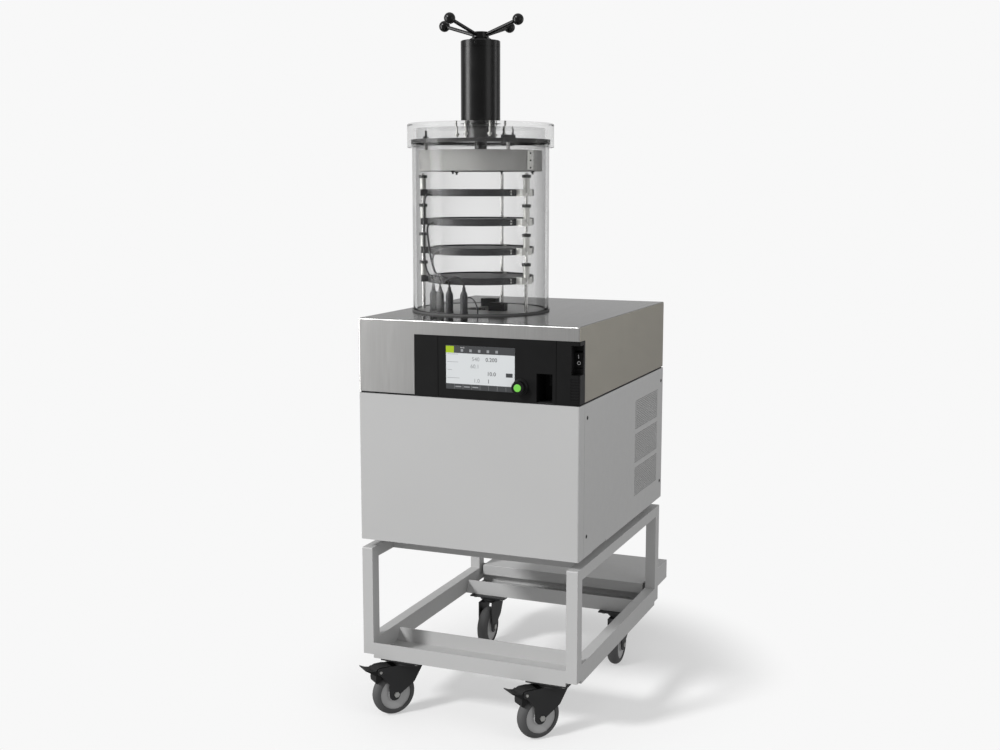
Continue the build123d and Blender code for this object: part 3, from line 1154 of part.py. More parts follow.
GRILLE_MIDDLE = GRILLE_BACK - GRILLE_WIDTH / 2
EXCHANGER_X1 = INSIDE - EXCHANGER_GAP
EXCHANGER_X0 = EXCHANGER_X1 - EXCHANGER_THICKNESS
EXCHANGER_Z0 = PAN_Z + EXCHANGER_LEG
EXCHANGER_Z1 = EXCHANGER_Z0 + EXCHANGER_HEIGHT
EXCHANGER_Y0 = GRILLE_MIDDLE - EXCHANGER_WIDTH / 2
EXCHANGER_Y1 = GRILLE_MIDDLE + EXCHANGER_WIDTH / 2
FAN_Z = (EXCHANGER_Z0 + EXCHANGER_Z1) / 2
SHROUD_X = EXCHANGER_X0 - EXCHANGER_SHEET
ROTOR_X1 = SHROUD_X - EXCHANGER_SHEET
ROTOR_X0 = ROTOR_X1 - FAN_DEPTH
with BuildPart() as heat_exchanger:
    for y in (EXCHANGER_Y0, EXCHANGER_Y1 - EXCHANGER_SHEET):
        block(EXCHANGER_X0, EXCHANGER_X1, y, y + EXCHANGER_SHEET, PAN_Z, EXCHANGER_Z1)
    for n in range(FIN_COUNT):
        y = GRILLE_MIDDLE + (n - (FIN_COUNT - 1) / 2) * FIN_PITCH
        block(EXCHANGER_X0, EXCHANGER_X1, y - FIN / 2, y + FIN / 2, EXCHANGER_Z0, EXCHANGER_Z1)
    for n in range(EXCHANGER_TUBES):
        z = EXCHANGER_Z0 + (n + 0.5) * EXCHANGER_HEIGHT / EXCHANGER_TUBES
        with Locations(((EXCHANGER_X0 + EXCHANGER_X1) / 2, GRILLE_MIDDLE, z)):
            Cylinder(EXCHANGER_TUBE_R, EXCHANGER_WIDTH, rotation=(90, 0, 0))
    fan_plane = Plane((EXCHANGER_X0, GRILLE_MIDDLE, FAN_Z), x_dir=(0, 1, 0), z_dir=(-1, 0, 0))
    with BuildSketch(fan_plane):
        Rectangle(EXCHANGER_WIDTH, EXCHANGER_HEIGHT)
        Circle(FAN_R + EXCHANGER_SHEET, mode=Mode.SUBTRACT)
    extrude(amount=EXCHANGER_SHEET)
    with BuildSketch(fan_plane):
        Circle(FAN_R + 2 * EXCHANGER_SHEET)
        Circle(FAN_R + EXCHANGER_SHEET, mode=Mode.SUBTRACT)
    extrude(amount=FAN_DEPTH + 4 * EXCHANGER_SHEET)
    with BuildSketch(fan_plane.offset(FAN_DEPTH + 3 * EXCHANGER_SHEET)):
        Rectangle(2 * FAN_R + 3 * EXCHANGER_SHEET, 3 * EXCHANGER_SHEET)
        Rectangle(3 * EXCHANGER_SHEET, 2 * FAN_R + 3 * EXCHANGER_SHEET)
    extrude(amount=EXCHANGER_SHEET)
    with BuildSketch(fan_plane.offset(FAN_DEPTH + 3 * EXCHANGER_SHEET)):
        Circle(MOTOR_R)
    extrude(amount=MOTOR_LENGTH)
    with BuildSketch(fan_plane.offset(EXCHANGER_SHEET)):
        Circle(FAN_SHAFT_R)
    extrude(amount=FAN_DEPTH + 3 * EXCHANGER_SHEET)
export(heat_exchanger, "heat_exchanger")

with BuildPart() as fan_rotor:
    with BuildSketch(Plane((ROTOR_X1, GRILLE_MIDDLE, FAN_Z), x_dir=(0, 1, 0), z_dir=(-1, 0, 0))):
        Circle(FAN_HUB_R)
    extrude(amount=FAN_DEPTH)
    blade_x = (ROTOR_X0 + ROTOR_X1) / 2
    blade_length = FAN_R - FAN_HUB_R + FAN_TIP
    for n in range(FAN_BLADES):
        turn = n * 360 / FAN_BLADES
        with Locations(Location((blade_x, GRILLE_MIDDLE, FAN_Z), (turn, 0, 0))):
            with Locations(Location((0, 0, FAN_R - FAN_TIP - blade_length / 2), (0, 0, BLADE_PITCH))):
                Box(BLADE, BLADE_WIDTH, blade_length)
    with BuildSketch(Plane((ROTOR_X1, GRILLE_MIDDLE, FAN_Z), x_dir=(0, 1, 0), z_dir=(-1, 0, 0))):
        Circle(FAN_SHAFT_R + RUNNING)
    extrude(amount=FAN_DEPTH, mode=Mode.SUBTRACT)
export(fan_rotor, "fan_rotor")

INLET_Z = HOUSING_Z + INLET_RISE
with BuildPart() as mains_inlet:
    with BuildSketch(Plane((INLET_X, BACK, INLET_Z), x_dir=(-1, 0, 0), z_dir=(0, 1, 0))):
        RectangleRounded(*INLET_SIZE, INLET_CORNER_R)
    extrude(amount=FLANGE_SHEET)
    block(
        INLET_X - INLET_SHELL[0] / 2, INLET_X + INLET_SHELL[0] / 2, BACK - INLET_DEPTH, BACK,
        INLET_Z - INLET_SHELL[1] / 2, INLET_Z + INLET_SHELL[1] / 2,
    )  # fmt: skip
    block(
        INLET_X - INLET_SHELL[0] / 2 + INLET_WALL, INLET_X + INLET_SHELL[0] / 2 - INLET_WALL,
        BACK - INLET_DEPTH + INLET_WALL, BACK + FLANGE_SHEET,
        INLET_Z - INLET_SHELL[1] / 2 + INLET_WALL, INLET_Z + INLET_SHELL[1] / 2 - INLET_WALL, Mode.SUBTRACT,
    )  # fmt: skip
    for across, up in INLET_PINS:
        with Locations((INLET_X + across, BACK - INLET_DEPTH / 2 - INLET_WALL / 2, INLET_Z + up)):
            Box(INLET_PIN[0], INLET_DEPTH - INLET_WALL, INLET_PIN[1])
export(mains_inlet, "mains_inlet")
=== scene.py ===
"""Looks of the freeze dryer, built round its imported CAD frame. Metres, +Z up, front at -Y."""

import json
import math

import bmesh
import bpy
from mathutils import Matrix, Vector

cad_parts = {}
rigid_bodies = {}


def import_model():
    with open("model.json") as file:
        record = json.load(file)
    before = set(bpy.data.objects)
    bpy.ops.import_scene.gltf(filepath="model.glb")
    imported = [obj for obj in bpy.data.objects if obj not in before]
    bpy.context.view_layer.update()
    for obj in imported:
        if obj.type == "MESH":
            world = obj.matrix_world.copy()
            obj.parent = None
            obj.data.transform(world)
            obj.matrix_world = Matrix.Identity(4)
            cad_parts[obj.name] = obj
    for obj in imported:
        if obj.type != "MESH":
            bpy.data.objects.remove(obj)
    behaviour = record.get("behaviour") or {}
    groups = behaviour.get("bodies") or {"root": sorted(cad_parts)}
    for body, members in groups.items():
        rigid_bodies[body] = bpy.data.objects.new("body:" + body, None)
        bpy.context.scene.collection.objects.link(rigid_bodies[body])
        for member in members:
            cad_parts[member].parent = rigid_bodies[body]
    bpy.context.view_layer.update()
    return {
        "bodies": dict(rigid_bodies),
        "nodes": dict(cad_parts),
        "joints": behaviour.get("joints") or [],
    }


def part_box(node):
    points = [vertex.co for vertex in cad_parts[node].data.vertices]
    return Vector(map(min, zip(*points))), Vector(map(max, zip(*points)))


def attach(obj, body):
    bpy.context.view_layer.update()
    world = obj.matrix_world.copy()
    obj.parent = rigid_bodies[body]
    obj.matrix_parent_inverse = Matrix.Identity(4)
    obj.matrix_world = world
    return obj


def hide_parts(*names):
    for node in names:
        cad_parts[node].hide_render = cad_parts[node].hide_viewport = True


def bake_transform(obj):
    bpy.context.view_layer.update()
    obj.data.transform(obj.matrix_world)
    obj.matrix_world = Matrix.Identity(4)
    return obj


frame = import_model()
NODES = frame["nodes"]
JOINTS = {joint["name"]: joint for joint in frame["joints"]}
ROOT = "stand"
CORNERS = ("front_left", "front_right", "rear_left", "rear_right")

# ---- places read from the frame ---------------------------------------------------------
COVER_LOW, COVER_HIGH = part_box("top_cover")
COVER_TOP = COVER_HIGH.z
FRONT = COVER_LOW.y
TUBE_LOW, TUBE_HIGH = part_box("stoppering_tube")
CHAMBER = Vector(((TUBE_LOW.x + TUBE_HIGH.x) / 2, (TUBE_LOW.y + TUBE_HIGH.y) / 2, 0))


def around_chamber(radius, bearing, z):
    """A point at a distance and a bearing in degrees (from +X) from the chamber's axis."""
    turn = math.radians(bearing)
    return Vector((CHAMBER.x + radius * math.cos(turn), CHAMBER.y + radius * math.sin(turn), z))


def from_axis(spot):
    """The level way from the chamber's axis out to a point."""
    return spot - around_chamber(0, 0, spot.z)


def placed(name, data):
    """A new object of the scene that shows this mesh, curve, lamp or camera."""
    thing = bpy.data.objects.new(name, data)
    bpy.context.scene.collection.objects.link(thing)
    return thing


# =========================================================================================
# Camera, light and floor
# =========================================================================================
CAMERA_PLACE = (1.1030, -2.8789, 1.17725)
PHOTO_WAY = (-0.3763, 0.9154, -0.1432)  # where the photograph looks, and its backdrop stands
SENSOR_WIDTH = 36
LENS = 46.93
WHITE_LEVEL = 0.938  # of the backdrop and the floor, as linear light
ROOM_FILL = 0.48  # what the room sends at matt surfaces
ROOM_DIM = 0.24  # what mirrors show of the room in front
ROOM_CEILING = 0.75  # what they show of its ceiling
MIRRORED_BACKDROP = 0.75
BACKDROP_EDGE = (0.62, 0.86)  # where it fades in, as the cosine off its middle
CEILING_EDGE = (0.35, 0.95)  # the same off straight up
KEY_PLACE = (-2.0, -3.1, 2.6)
KEY_ENERGY = 2.4
KEY_SPREAD = 10  # degrees
BOX_PLACE = (3.0, -1.2, 1.6)
BOX_ENERGY = 15
BOX_WIDTH = 1.6
LAMP_HEIGHT = 2.2
STRIPS = (  # name, energy, place, width
    ("left_strip", 58, (-2.04, -1.42, 1.35), 0.9),
    ("right_strip", 9, (1.95, 1.16, 1.4), 0.5),
)
FLOOR_REACH = 60
FLOOR_GLOW = 0.40
FLOOR_WHITE = 0.56  # how much of the light it scatters, beside its glow
FLOOR_FILL = 0.42  # what it sends up at the object
MIRRORED_FLOOR = 0.36
EVEN_CENTRE = (0.04, -0.03, 0)
EVEN_STRETCH = (1, 0.82, 1)
EVEN_EDGE = (0.36, 0.62)  # where the floor turns even, off its centre


def set_camera():
    data = bpy.data.cameras.new("camera")
    data.sensor_width = SENSOR_WIDTH
    data.lens = LENS
    data.clip_end = 200
    camera = placed("camera", data)
    camera.location = CAMERA_PLACE
    camera.rotation_euler = Vector(PHOTO_WAY).to_track_quat("-Z", "Y").to_euler()
    bpy.context.scene.camera = camera


def add_lamp(name, kind, energy, location, target, **settings):
    data = bpy.data.lights.new(name, kind)
    data.energy = energy
    for key, value in settings.items():
        setattr(data, key, value)
    lamp = placed(name, data)
    lamp.location = location
    lamp.rotation_euler = (Vector(target) - Vector(location)).to_track_quat("-Z", "Y").to_euler()
    return lamp


def mirror_ray(tree):
    """A socket that is 1 for what a glossy surface mirrors, and 0 for what is seen through one."""
    path = tree.nodes.new("ShaderNodeLightPath")
    only = tree.nodes.new("ShaderNodeMath")
    only.operation = "SUBTRACT"
    only.use_clamp = True
    tree.links.new(path.outputs["Is Glossy Ray"], only.inputs[0])
    tree.links.new(path.outputs["Is Transmission Ray"], only.inputs[1])
    return only.outputs[0]


def set_light():
    world = bpy.data.worlds.new("studio")
    bpy.context.scene.world = world
    world.use_nodes = True
    tree = world.node_tree
    tree.nodes.clear()

    def ramp(value, edge, low=0, high=1):
        """Rises smoothly from low to high while the value crosses the edge."""
        node = tree.nodes.new("ShaderNodeMapRange")
        node.interpolation_type = "SMOOTHSTEP"
        for place, number in zip(("From Min", "From Max", "To Min", "To Max"), (*edge, low, high)):
            node.inputs[place].default_value = number
        tree.links.new(value, node.inputs["Value"])
        return node.outputs["Result"]

    def mix(share, first, second):
        """Mixes two numbers or sockets: all second where the share is 1."""
        node = tree.nodes.new("ShaderNodeMix")
        tree.links.new(share, node.inputs["Factor"])
        for place, value in (("A", first), ("B", second)):
            if isinstance(value, float):
                node.inputs[place].default_value = value
            else:
                tree.links.new(value, node.inputs[place])
        return node.outputs["Result"]

    path = tree.nodes.new("ShaderNodeLightPath")
    where = tree.nodes.new("ShaderNodeTexCoord").outputs["Generated"]

    # What mirrors and clear walls show: a white backdrop behind, a pale ceiling, a dim room in front.
    towards = tree.nodes.new("ShaderNodeVectorMath")
    towards.operation = "DOT_PRODUCT"
    towards.inputs[1].default_value = PHOTO_WAY
    tree.links.new(where, towards.inputs[0])
    split = tree.nodes.new("ShaderNodeSeparateXYZ")
    tree.links.new(where, split.inputs[0])
    ceiling = ramp(split.outputs["Z"], CEILING_EDGE, ROOM_DIM, ROOM_CEILING)
    behind = mix(mirror_ray(tree), WHITE_LEVEL, MIRRORED_BACKDROP)
    mirrored = mix(ramp(towards.outputs["Value"], BACKDROP_EDGE), ceiling, behind)

    lit = mix(path.outputs["Is Diffuse Ray"], mirrored, ROOM_FILL)
    seen = mix(path.outputs["Is Camera Ray"], lit, WHITE_LEVEL)
    room = tree.nodes.new("ShaderNodeBackground")
    room.inputs["Color"].default_value = (1, 1, 1, 1)
    tree.links.new(seen, room.inputs["Strength"])
    out = tree.nodes.new("ShaderNodeOutputWorld")
    tree.links.new(room.outputs[0], out.inputs["Surface"])

    add_lamp("key", "SUN", KEY_ENERGY, KEY_PLACE, (0, 0, 0), angle=math.radians(KEY_SPREAD))
    flat = {"shape": "RECTANGLE", "size_y": LAMP_HEIGHT}
    add_lamp("right_box", "AREA", BOX_ENERGY, BOX_PLACE, (0, 0, 0.8), size=BOX_WIDTH, **flat)
    # The strips only give the dark round parts their long highlights.
    middle = (CHAMBER.x, CHAMBER.y, 1.3)
    for name, energy, place, width in STRIPS:
        strip = add_lamp(name, "AREA", energy, place, middle, size=width, **flat)
        strip.visible_diffuse = False


def add_floor():
    mesh = bpy.data.meshes.new("floor")
    far = FLOOR_REACH
    corners = [(-far, -far, 0), (far, -far, 0), (far, far, 0), (-far, far, 0)]
    mesh.from_pydata(corners, [], [(0, 1, 2, 3)])
    floor = placed("floor", mesh)
    shader = Shader("floor_white").set(color=shade((1, 1, 1), FLOOR_WHITE), roughness=1.0, specular=0.0)
    shader.set(emission=FLOOR_GLOW)
    shader.surface.inputs["Emission Color"].default_value = (1, 1, 1, 1)
    # Away from the unit the floor is as even and as pale as the backdrop.
    off = shader.add("ShaderNodeVectorMath", operation="DISTANCE")
    off.inputs[1].default_value = EVEN_CENTRE
    shader.link(shader.stretched(EVEN_STRETCH), off.inputs[0])
    fade = shader.add("ShaderNodeMapRange", interpolation_type="SMOOTHSTEP")
    fade.inputs["From Min"].default_value, fade.inputs["From Max"].default_value = EVEN_EDGE
    shader.link(off.outputs["Value"], fade.inputs["Value"])
    path = shader.add("ShaderNodeLightPath")
    surface = shader.surface.outputs[0]
    for share, level in (
        (fade.outputs["Result"], WHITE_LEVEL),
        (path.outputs["Is Diffuse Ray"], FLOOR_FILL),
        (mirror_ray(shader.tree), MIRRORED_FLOOR),
    ):
        even = shader.add("ShaderNodeEmission")
        even.inputs["Strength"].default_value = level
        surface = shader.mixed(share, surface, even.outputs[0])
    shader.finish(surface)
    mesh.materials.append(shader.material)


# =========================================================================================
# Materials
# =========================================================================================
class Shader:
    """A new node material with its Principled shader and small helpers to feed it."""

    def __init__(self, name):
        self.material = bpy.data.materials.new(name)
        self.material.use_nodes = True
        self.tree = self.material.node_tree
        self.surface = self.tree.nodes["Principled BSDF"]
        self.place = self.add("ShaderNodeTexCoord").outputs["Object"]

    def add(self, kind, **settings):
        node = self.tree.nodes.new(kind)
        for key, value in settings.items():
            setattr(node, key, value)
        return node

    def link(self, start, end):
        self.tree.links.new(start, end)

    def set(self, **values):
        names = {
            "color": "Base Color", "metallic": "Metallic", "roughness": "Roughness", "ior": "IOR",
            "specular": "Specular IOR Level", "transmission": "Transmission Weight",
            "coat": "Coat Weight", "coat_roughness": "Coat Roughness", "emission": "Emission Strength",
        }  # fmt: skip
        for key, value in values.items():
            if key == "color":
                value = (*value, 1)
            self.surface.inputs[names[key]].default_value = value
        return self

    def stretched(self, scale):
        """Object coordinates multiplied by scale, for grain that runs one way."""
        mapping = self.add("ShaderNodeMapping")
        mapping.inputs["Scale"].default_value = scale
        self.link(self.place, mapping.inputs["Vector"])
        return mapping.outputs["Vector"]

    def noise(self, scale, detail=3.0, vector=None):
        texture = self.add("ShaderNodeTexNoise")
        texture.inputs["Scale"].default_value = scale
        texture.inputs["Detail"].default_value = detail
        self.link(vector or self.place, texture.inputs["Vector"])
        return texture.outputs["Fac"]

    def spread(self, value, low, high):
        """Maps noise, which stays near its middle, onto the span from low to high."""
        span = self.add("ShaderNodeMapRange")
        span.inputs["From Min"].default_value = 0.3
        span.inputs["From Max"].default_value = 0.7
        span.inputs["To Min"].default_value = low
        span.inputs["To Max"].default_value = high
        self.link(value, span.inputs["Value"])
        return span.outputs["Result"]

    def tint(self, value, dark, light):
        """Base colour from dark, where the value is 0, to light, where it is 1."""
        mix = self.add("ShaderNodeMix", data_type="RGBA")
        mix.inputs["A"].default_value = (*dark, 1)
        mix.inputs["B"].default_value = (*light, 1)
        self.link(value, mix.inputs["Factor"])
        self.link(mix.outputs["Result"], self.surface.inputs["Base Color"])

    def mottle(self, value, color, contrast):
        """Base colour that strays from its middle with the noise."""
        self.tint(self.spread(value, 0, 1), shade(color, 1 - contrast), shade(color, 1 + contrast))

    def gloss(self, value, low, high):
        """Roughness between two limits, with the noise."""
        self.link(self.spread(value, low, high), self.surface.inputs["Roughness"])

    def mixed(self, share, first, second):
        """Mixes two shaders: all second where the share is 1."""
        mix = self.add("ShaderNodeMixShader")
        for place, socket in enumerate((share, first, second)):
            self.link(socket, mix.inputs[place])
        return mix.outputs[0]

    def finish(self, surface):
        """Shows this shader in place of the plain Principled one."""
        self.link(surface, self.tree.nodes["Material Output"].inputs["Surface"])

    def bump(self, value, strength, distance):
        bump = self.add("ShaderNodeBump")
        bump.inputs["Strength"].default_value = strength
        bump.inputs["Distance"].default_value = distance
        self.link(value, bump.inputs["Height"])
        self.link(bump.outputs["Normal"], self.surface.inputs["Normal"])


def shade(color, factor):
    return tuple(min(1.0, channel * factor) for channel in color)


def plain(name, color, roughness=0.5, specular=0.5, variation=0.03, **values):
    """A moulded or painted surface: slight mottling and uneven gloss."""
    shader = Shader(name).set(roughness=roughness, specular=specular, **values)
    shader.mottle(shader.noise(9, 4), color, variation)
    shader.gloss(shader.noise(35, 4), roughness * 0.93, min(1, roughness * 1.07))
    return shader.material


def powder_coat(name, color):
    """Satin powder coat with its fine orange peel."""
    shader = Shader(name).set(specular=0.4)
    shader.mottle(shader.noise(3, 3), color, 0.015)
    shader.gloss(shader.noise(60, 3), 0.46, 0.56)
    shader.bump(shader.noise(900, 2), 0.12, 0.0004)
    return shader.material


def brushed(name, color, grain, roughness=(0.24, 0.42), rim=1.0, contrast=0.12):
    """Brushed sheet: hair lines along the axis where grain has its smallest number.

    rim is the tint of what it mirrors at a grazing angle."""
    shader = Shader(name).set(metallic=1.0)
    shader.surface.inputs["Specular Tint"].default_value = (rim, rim, rim, 1)
    lines = shader.noise(1, 6, shader.stretched(grain))
    shader.mottle(lines, color, contrast)
    shader.gloss(lines, *roughness)
    shader.bump(lines, 0.10, 0.0003)
    return shader.material


def clear_acrylic(name, tint, edge_tint):
    """Polished acrylic wall: it hardly bends what is seen through it, and shines by its coat."""
    shader = Shader(name).set(transmission=1.0, ior=1.04, coat=0.1, coat_roughness=0.02)
    shader.gloss(shader.noise(4, 3), 0.005, 0.03)
    edge = shader.add("ShaderNodeLayerWeight")
    edge.inputs["Blend"].default_value = 0.3
    shader.tint(edge.outputs["Facing"], tint, shade(tint, edge_tint))
    path = shader.add("ShaderNodeLightPath")
    through = shader.add("ShaderNodeBsdfTransparent")
    through.inputs["Color"].default_value = (*shade(tint, 0.97), 1)
    surface = shader.surface.outputs[0]
    shader.finish(shader.mixed(path.outputs["Is Shadow Ray"], surface, through.outputs[0]))
    return shader.material


def glow(name, color, strength):
    """A lit field that also sends out some light of its colour."""
    shader = Shader(name).set(color=color, roughness=0.35, emission=strength)
    shader.surface.inputs["Emission Color"].default_value = (*color, 1)
    return shader.material


WHITE_GREY = (0.475, 0.475, 0.473)
# A slightly lighter copy of the housing's powder coat for the cart: painted light against the shade
# under the housing.
CART_GREY_LIT = (0.48, 0.48, 0.478)
COVER_STEEL = (0.46, 0.457, 0.45)
# Darker, warmer copy of the cover's steel for its side faces: painted shade.
COVER_SIDE_SHADE = (0.36, 0.342, 0.298)
STEEL = (0.50, 0.495, 0.485)
BLACK = (0.006, 0.006, 0.0062)

MATERIALS = {
    "powder": powder_coat("powder_coat", WHITE_GREY),
    "cart": powder_coat("cart_powder_coat_lit", CART_GREY_LIT),
    "cover": brushed("cover_steel", COVER_STEEL, (1600, 60, 14), (0.32, 0.4), contrast=0.05),
    # Painted shade: a darker, warmer copy of the cover steel for its sides.
    "cover_side": brushed("cover_side_painted_shade", COVER_SIDE_SHADE, (60, 60, 60), (0.4, 0.5), contrast=0.05),
    # Painted shade: a darker copy of the cover steel, mirroring less at a grazing angle, for its top
    # face.
    "shaded_cover_top": brushed("cover_top_painted_shade", shade(COVER_STEEL, 0.84), (900, 8, 900), (0.1, 0.2), 0.5),
    "steel": brushed("steel", STEEL, (400, 400, 12)),
    "rolled": plain("rolled_steel", (0.27, 0.268, 0.26), roughness=0.7, specular=0.05),
    "floor_plate": plain("chamber_floor_steel", (0.26, 0.26, 0.255), roughness=0.4, metallic=0.5),
    "rod": brushed("rod_steel", STEEL, (500, 500, 20), (0.18, 0.3)),
    "black": plain("black_plastic", BLACK, roughness=0.42, specular=0.16),
    "black_rough": plain("black_moulding", shade(BLACK, 1.6), roughness=0.6, specular=0.25),
    "satin_black": plain("satin_black", (0.003, 0.003, 0.0031), roughness=0.3, specular=0.3),
    "spigot": plain("spigot_black", (0.04, 0.04, 0.04), roughness=0.35, specular=0.5),
    "anodised": plain("black_anodised", (0.024, 0.024, 0.025), roughness=0.45, specular=0.28),
    "alloy": plain("bead_blasted_alloy", (0.47, 0.47, 0.45), roughness=0.5, metallic=0.75),
    "collar": plain("black_collar", (0.03, 0.03, 0.03), roughness=0.5),
    "coat": plain("black_coat", (0.022, 0.022, 0.023), roughness=0.48, metallic=0.2),
    "tyre": plain("tyre_rubber", (0.075, 0.075, 0.076), roughness=0.75, variation=0.08),
    "disc": plain("wheel_disc", (0.43, 0.43, 0.43), roughness=0.5),
    "rubber": plain("seal_rubber", (0.02, 0.02, 0.02), roughness=0.7),
    "grey_rubber": plain("grey_seal_rubber", (0.07, 0.07, 0.07), roughness=0.6),
    "sheath": plain("lead_sheath", (0.022, 0.022, 0.023), roughness=0.5),
    "plug": plain("plug_plastic", (0.028, 0.028, 0.030), roughness=0.45),
    "copper": brushed("copper", (0.75, 0.42, 0.28), (60, 60, 60)),
    "zinc": brushed("zinc", (0.6, 0.6, 0.58), (300, 300, 300), (0.3, 0.45)),
    "dark_screw": plain("dark_screw", (0.02, 0.02, 0.02), roughness=0.4, metallic=0.6),
    "acrylic": clear_acrylic("clear_acrylic", (0.90, 0.901, 0.901), 0.33),
    "lid_acrylic": clear_acrylic("lid_acrylic", (0.85, 0.852, 0.852), 0.7),
    "screen": glow("screen_white", (0.60, 0.62, 0.63), 0.12),
    "screen_dark": glow("screen_dark", (0.045, 0.047, 0.05), 0.1),
    "screen_grey": glow("screen_grey", (0.28, 0.29, 0.30), 0.1),
    "screen_lime": glow("screen_lime", (0.325, 0.455, 0.006), 0.15),
    "button": glow("green_button", (0.12, 0.40, 0.05), 0.6),
    "mark": plain("white_marking", (0.75, 0.75, 0.75), roughness=0.5),
}


WHOLE_NODES = {
    "powder": ("base_pan", "front_panel", "left_panel", "right_panel", "rear_panel"),
    "cart": ("cart_left_side", "cart_right_side", "cart_cross_rails", "cart_channels", "pump_shelf"),
    "black_rough": (
        "chassis_deck", "drain_nozzle", "terminal_blocks", "mains_inlet", "fan_rotor", "heat_exchanger",
        "brake_pedal_left", "brake_pedal_right",
    ),
    "black": ("fascia", "control_knob", "power_rocker"),
    "satin_black": ("stoppering_handle", "compressor"),
    "anodised": ("shelf_1", "shelf_2", "shelf_3", "shelf_4"),
    "sheath": ("lead_shelf_1", "lead_shelf_2", "lead_shelf_3", "lead_shelf_4", "lead_sensor"),
    "steel": ("condenser_pot", "vacuum_port"),
    "screen": ("display_screen",),
    "button": ("knob_button",),
    "copper": ("condenser_coil",),
    "acrylic": ("chamber_cylinder",),
    "lid_acrylic": ("lid",),
    "spigot": ("piston_rod",),
    "rod": ("guide_rods",),
    "floor_plate": ("chamber_floor",),
}  # fmt: skip
FACING = 0.7  # a normal's share along an axis that counts as facing it
BOLT_DEPTH = 0.0032  # below the castors' plates
BOLT_OFF_SWIVEL = 0.03
CHEEK = 0.0192  # from a fork's middle plane to just outside its cheeks
FORK_HEAD_TOP = 0.112
DISC_R = 0.0355
COLLAR_DEPTH = 0.0072  # from the guides' top
BRACKET_DEPTH = 0.030  # from the pressure plate's top


def dress_faces(name, materials, choose=lambda at, normal: 0):
    """Gives each face of a CAD node the material whose place in the list choose returns."""
    mesh = NODES[name].data
    mesh.materials.clear()
    for material in materials:
        mesh.materials.append(MATERIALS[material])
    for face in mesh.polygons:
        face.material_index = choose(face.center, face.normal)


def below(height):
    """Chooses the second material for what lies below a height."""
    return lambda at, normal: 1 if at.z < height else 0


def above(height):
    """Chooses the second material for what lies above a height."""
    return lambda at, normal: 1 if at.z > height else 0


def dress_nodes():
    for material, names in WHOLE_NODES.items():
        for name in names:
            dress_faces(name, [material])
    dress_faces("chamber_gaskets", ["rubber", "grey_rubber"], below(COVER_TOP + 0.01))
    lid_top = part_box("lid")[1].z
    dress_faces("stoppering_tube", ["satin_black", "spigot"], below(lid_top - 0.001))
    plate_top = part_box("pressure_plate")[1].z
    dress_faces("pressure_plate", ["rolled", "anodised"], above(plate_top - BRACKET_DEPTH))

    # The cover's top faces take a darker copy of its steel and its side faces a darker, warmer copy:
    # painted shade on one steel sheet.
    def cover_side(at, normal):
        return 1 if abs(normal.z) > FACING else 2 if abs(normal.x) > FACING else 0

    dress_faces("top_cover", ["cover", "shaded_cover_top", "cover_side"], cover_side)

    castor_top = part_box("castor_plates")[1].z
    swivels = [Vector(JOINTS[f"swivel_{corner}"]["pos_m"]).to_2d() for corner in CORNERS]

    def bolt(at, normal):
        off_swivel = min((at.to_2d() - swivel).length for swivel in swivels)
        return 1 if at.z < castor_top - BOLT_DEPTH and off_swivel > BOLT_OFF_SWIVEL else 0

    dress_faces("castor_plates", ["coat", "zinc"], bolt)
    for corner in CORNERS:
        axle = Vector(JOINTS[f"roll_{corner}"]["pos_m"])
        line = Vector(JOINTS[f"roll_{corner}"]["axis"]).normalized()

        def head(at, normal):
            return 1 if abs(line.dot(at - axle)) > CHEEK and at.z < FORK_HEAD_TOP else 0

        dress_faces(f"fork_{corner}", ["coat", "zinc"], head)

        def ring(at, normal):
            off = at - axle
            return 0 if (off - line * off.dot(line)).length > DISC_R else 1

        dress_faces(f"wheel_{corner}", ["tyre", "disc"], ring)
    for level in range(1, 5):
        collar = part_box(f"shelf_{level}_guides")[1].z - COLLAR_DEPTH
        lug_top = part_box(f"shelf_{level}")[1].z + 0.0005

        # The side faces of the left-hand lugs take the dark anodised colour in place of their pale
        # alloy: painted shade.
        def guide(at, normal):
            if at.z > collar:
                return 1
            return 2 if at.z < lug_top and at.x < CHAMBER.x and abs(normal.z) < FACING else 0

        dress_faces(f"shelf_{level}_guides", ["alloy", "collar", "anodised"], guide)


# =========================================================================================
# Small pieces
# =========================================================================================
def show(name, mesh, material, body=ROOT):
    """Shows a finished mesh in one material, carried by a body."""
    mesh.materials.clear()
    mesh.materials.append(MATERIALS[material])
    piece = placed(name, mesh)
    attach(piece, body)
    return piece


def show_bmesh(name, bm, material, body=ROOT):
    mesh = bpy.data.meshes.new(name)
    bm.to_mesh(mesh)
    bm.free()
    return show(name, mesh, material, body)


def new_piece(name, form, material, body=ROOT):
    """Shows a form, which is its vertices and its faces."""
    verts, faces = form
    mesh = bpy.data.meshes.new(name)
    mesh.from_pydata(verts, [], faces)
    mesh.update()
    return show(name, mesh, material, body)


def join_turned(profile, places, segments=20):
    """Vertices and faces of copies of a turned profile, one for each (centre, axis)."""
    verts, faces = [], []
    for centre, axis in places:
        axis = Vector(axis).normalized()
        side = axis.orthogonal().normalized()
        other = axis.cross(side)
        first = len(verts)
        for radius, height in profile:
            for step in range(segments):
                turn = 2 * math.pi * step / segments
                spoke = side * math.cos(turn) + other * math.sin(turn)
                verts.append(Vector(centre) + spoke * radius + axis * height)
        for row in range(len(profile) - 1):
            for step in range(segments):
                after = (step + 1) % segments
                a = first + row * segments
                faces.append((a + step, a + after, a + segments + after, a + segments + step))
        faces.append(tuple(first + step for step in reversed(range(segments))))
        last = first + (len(profile) - 1) * segments
        faces.append(tuple(last + step for step in range(segments)))
    return verts, faces


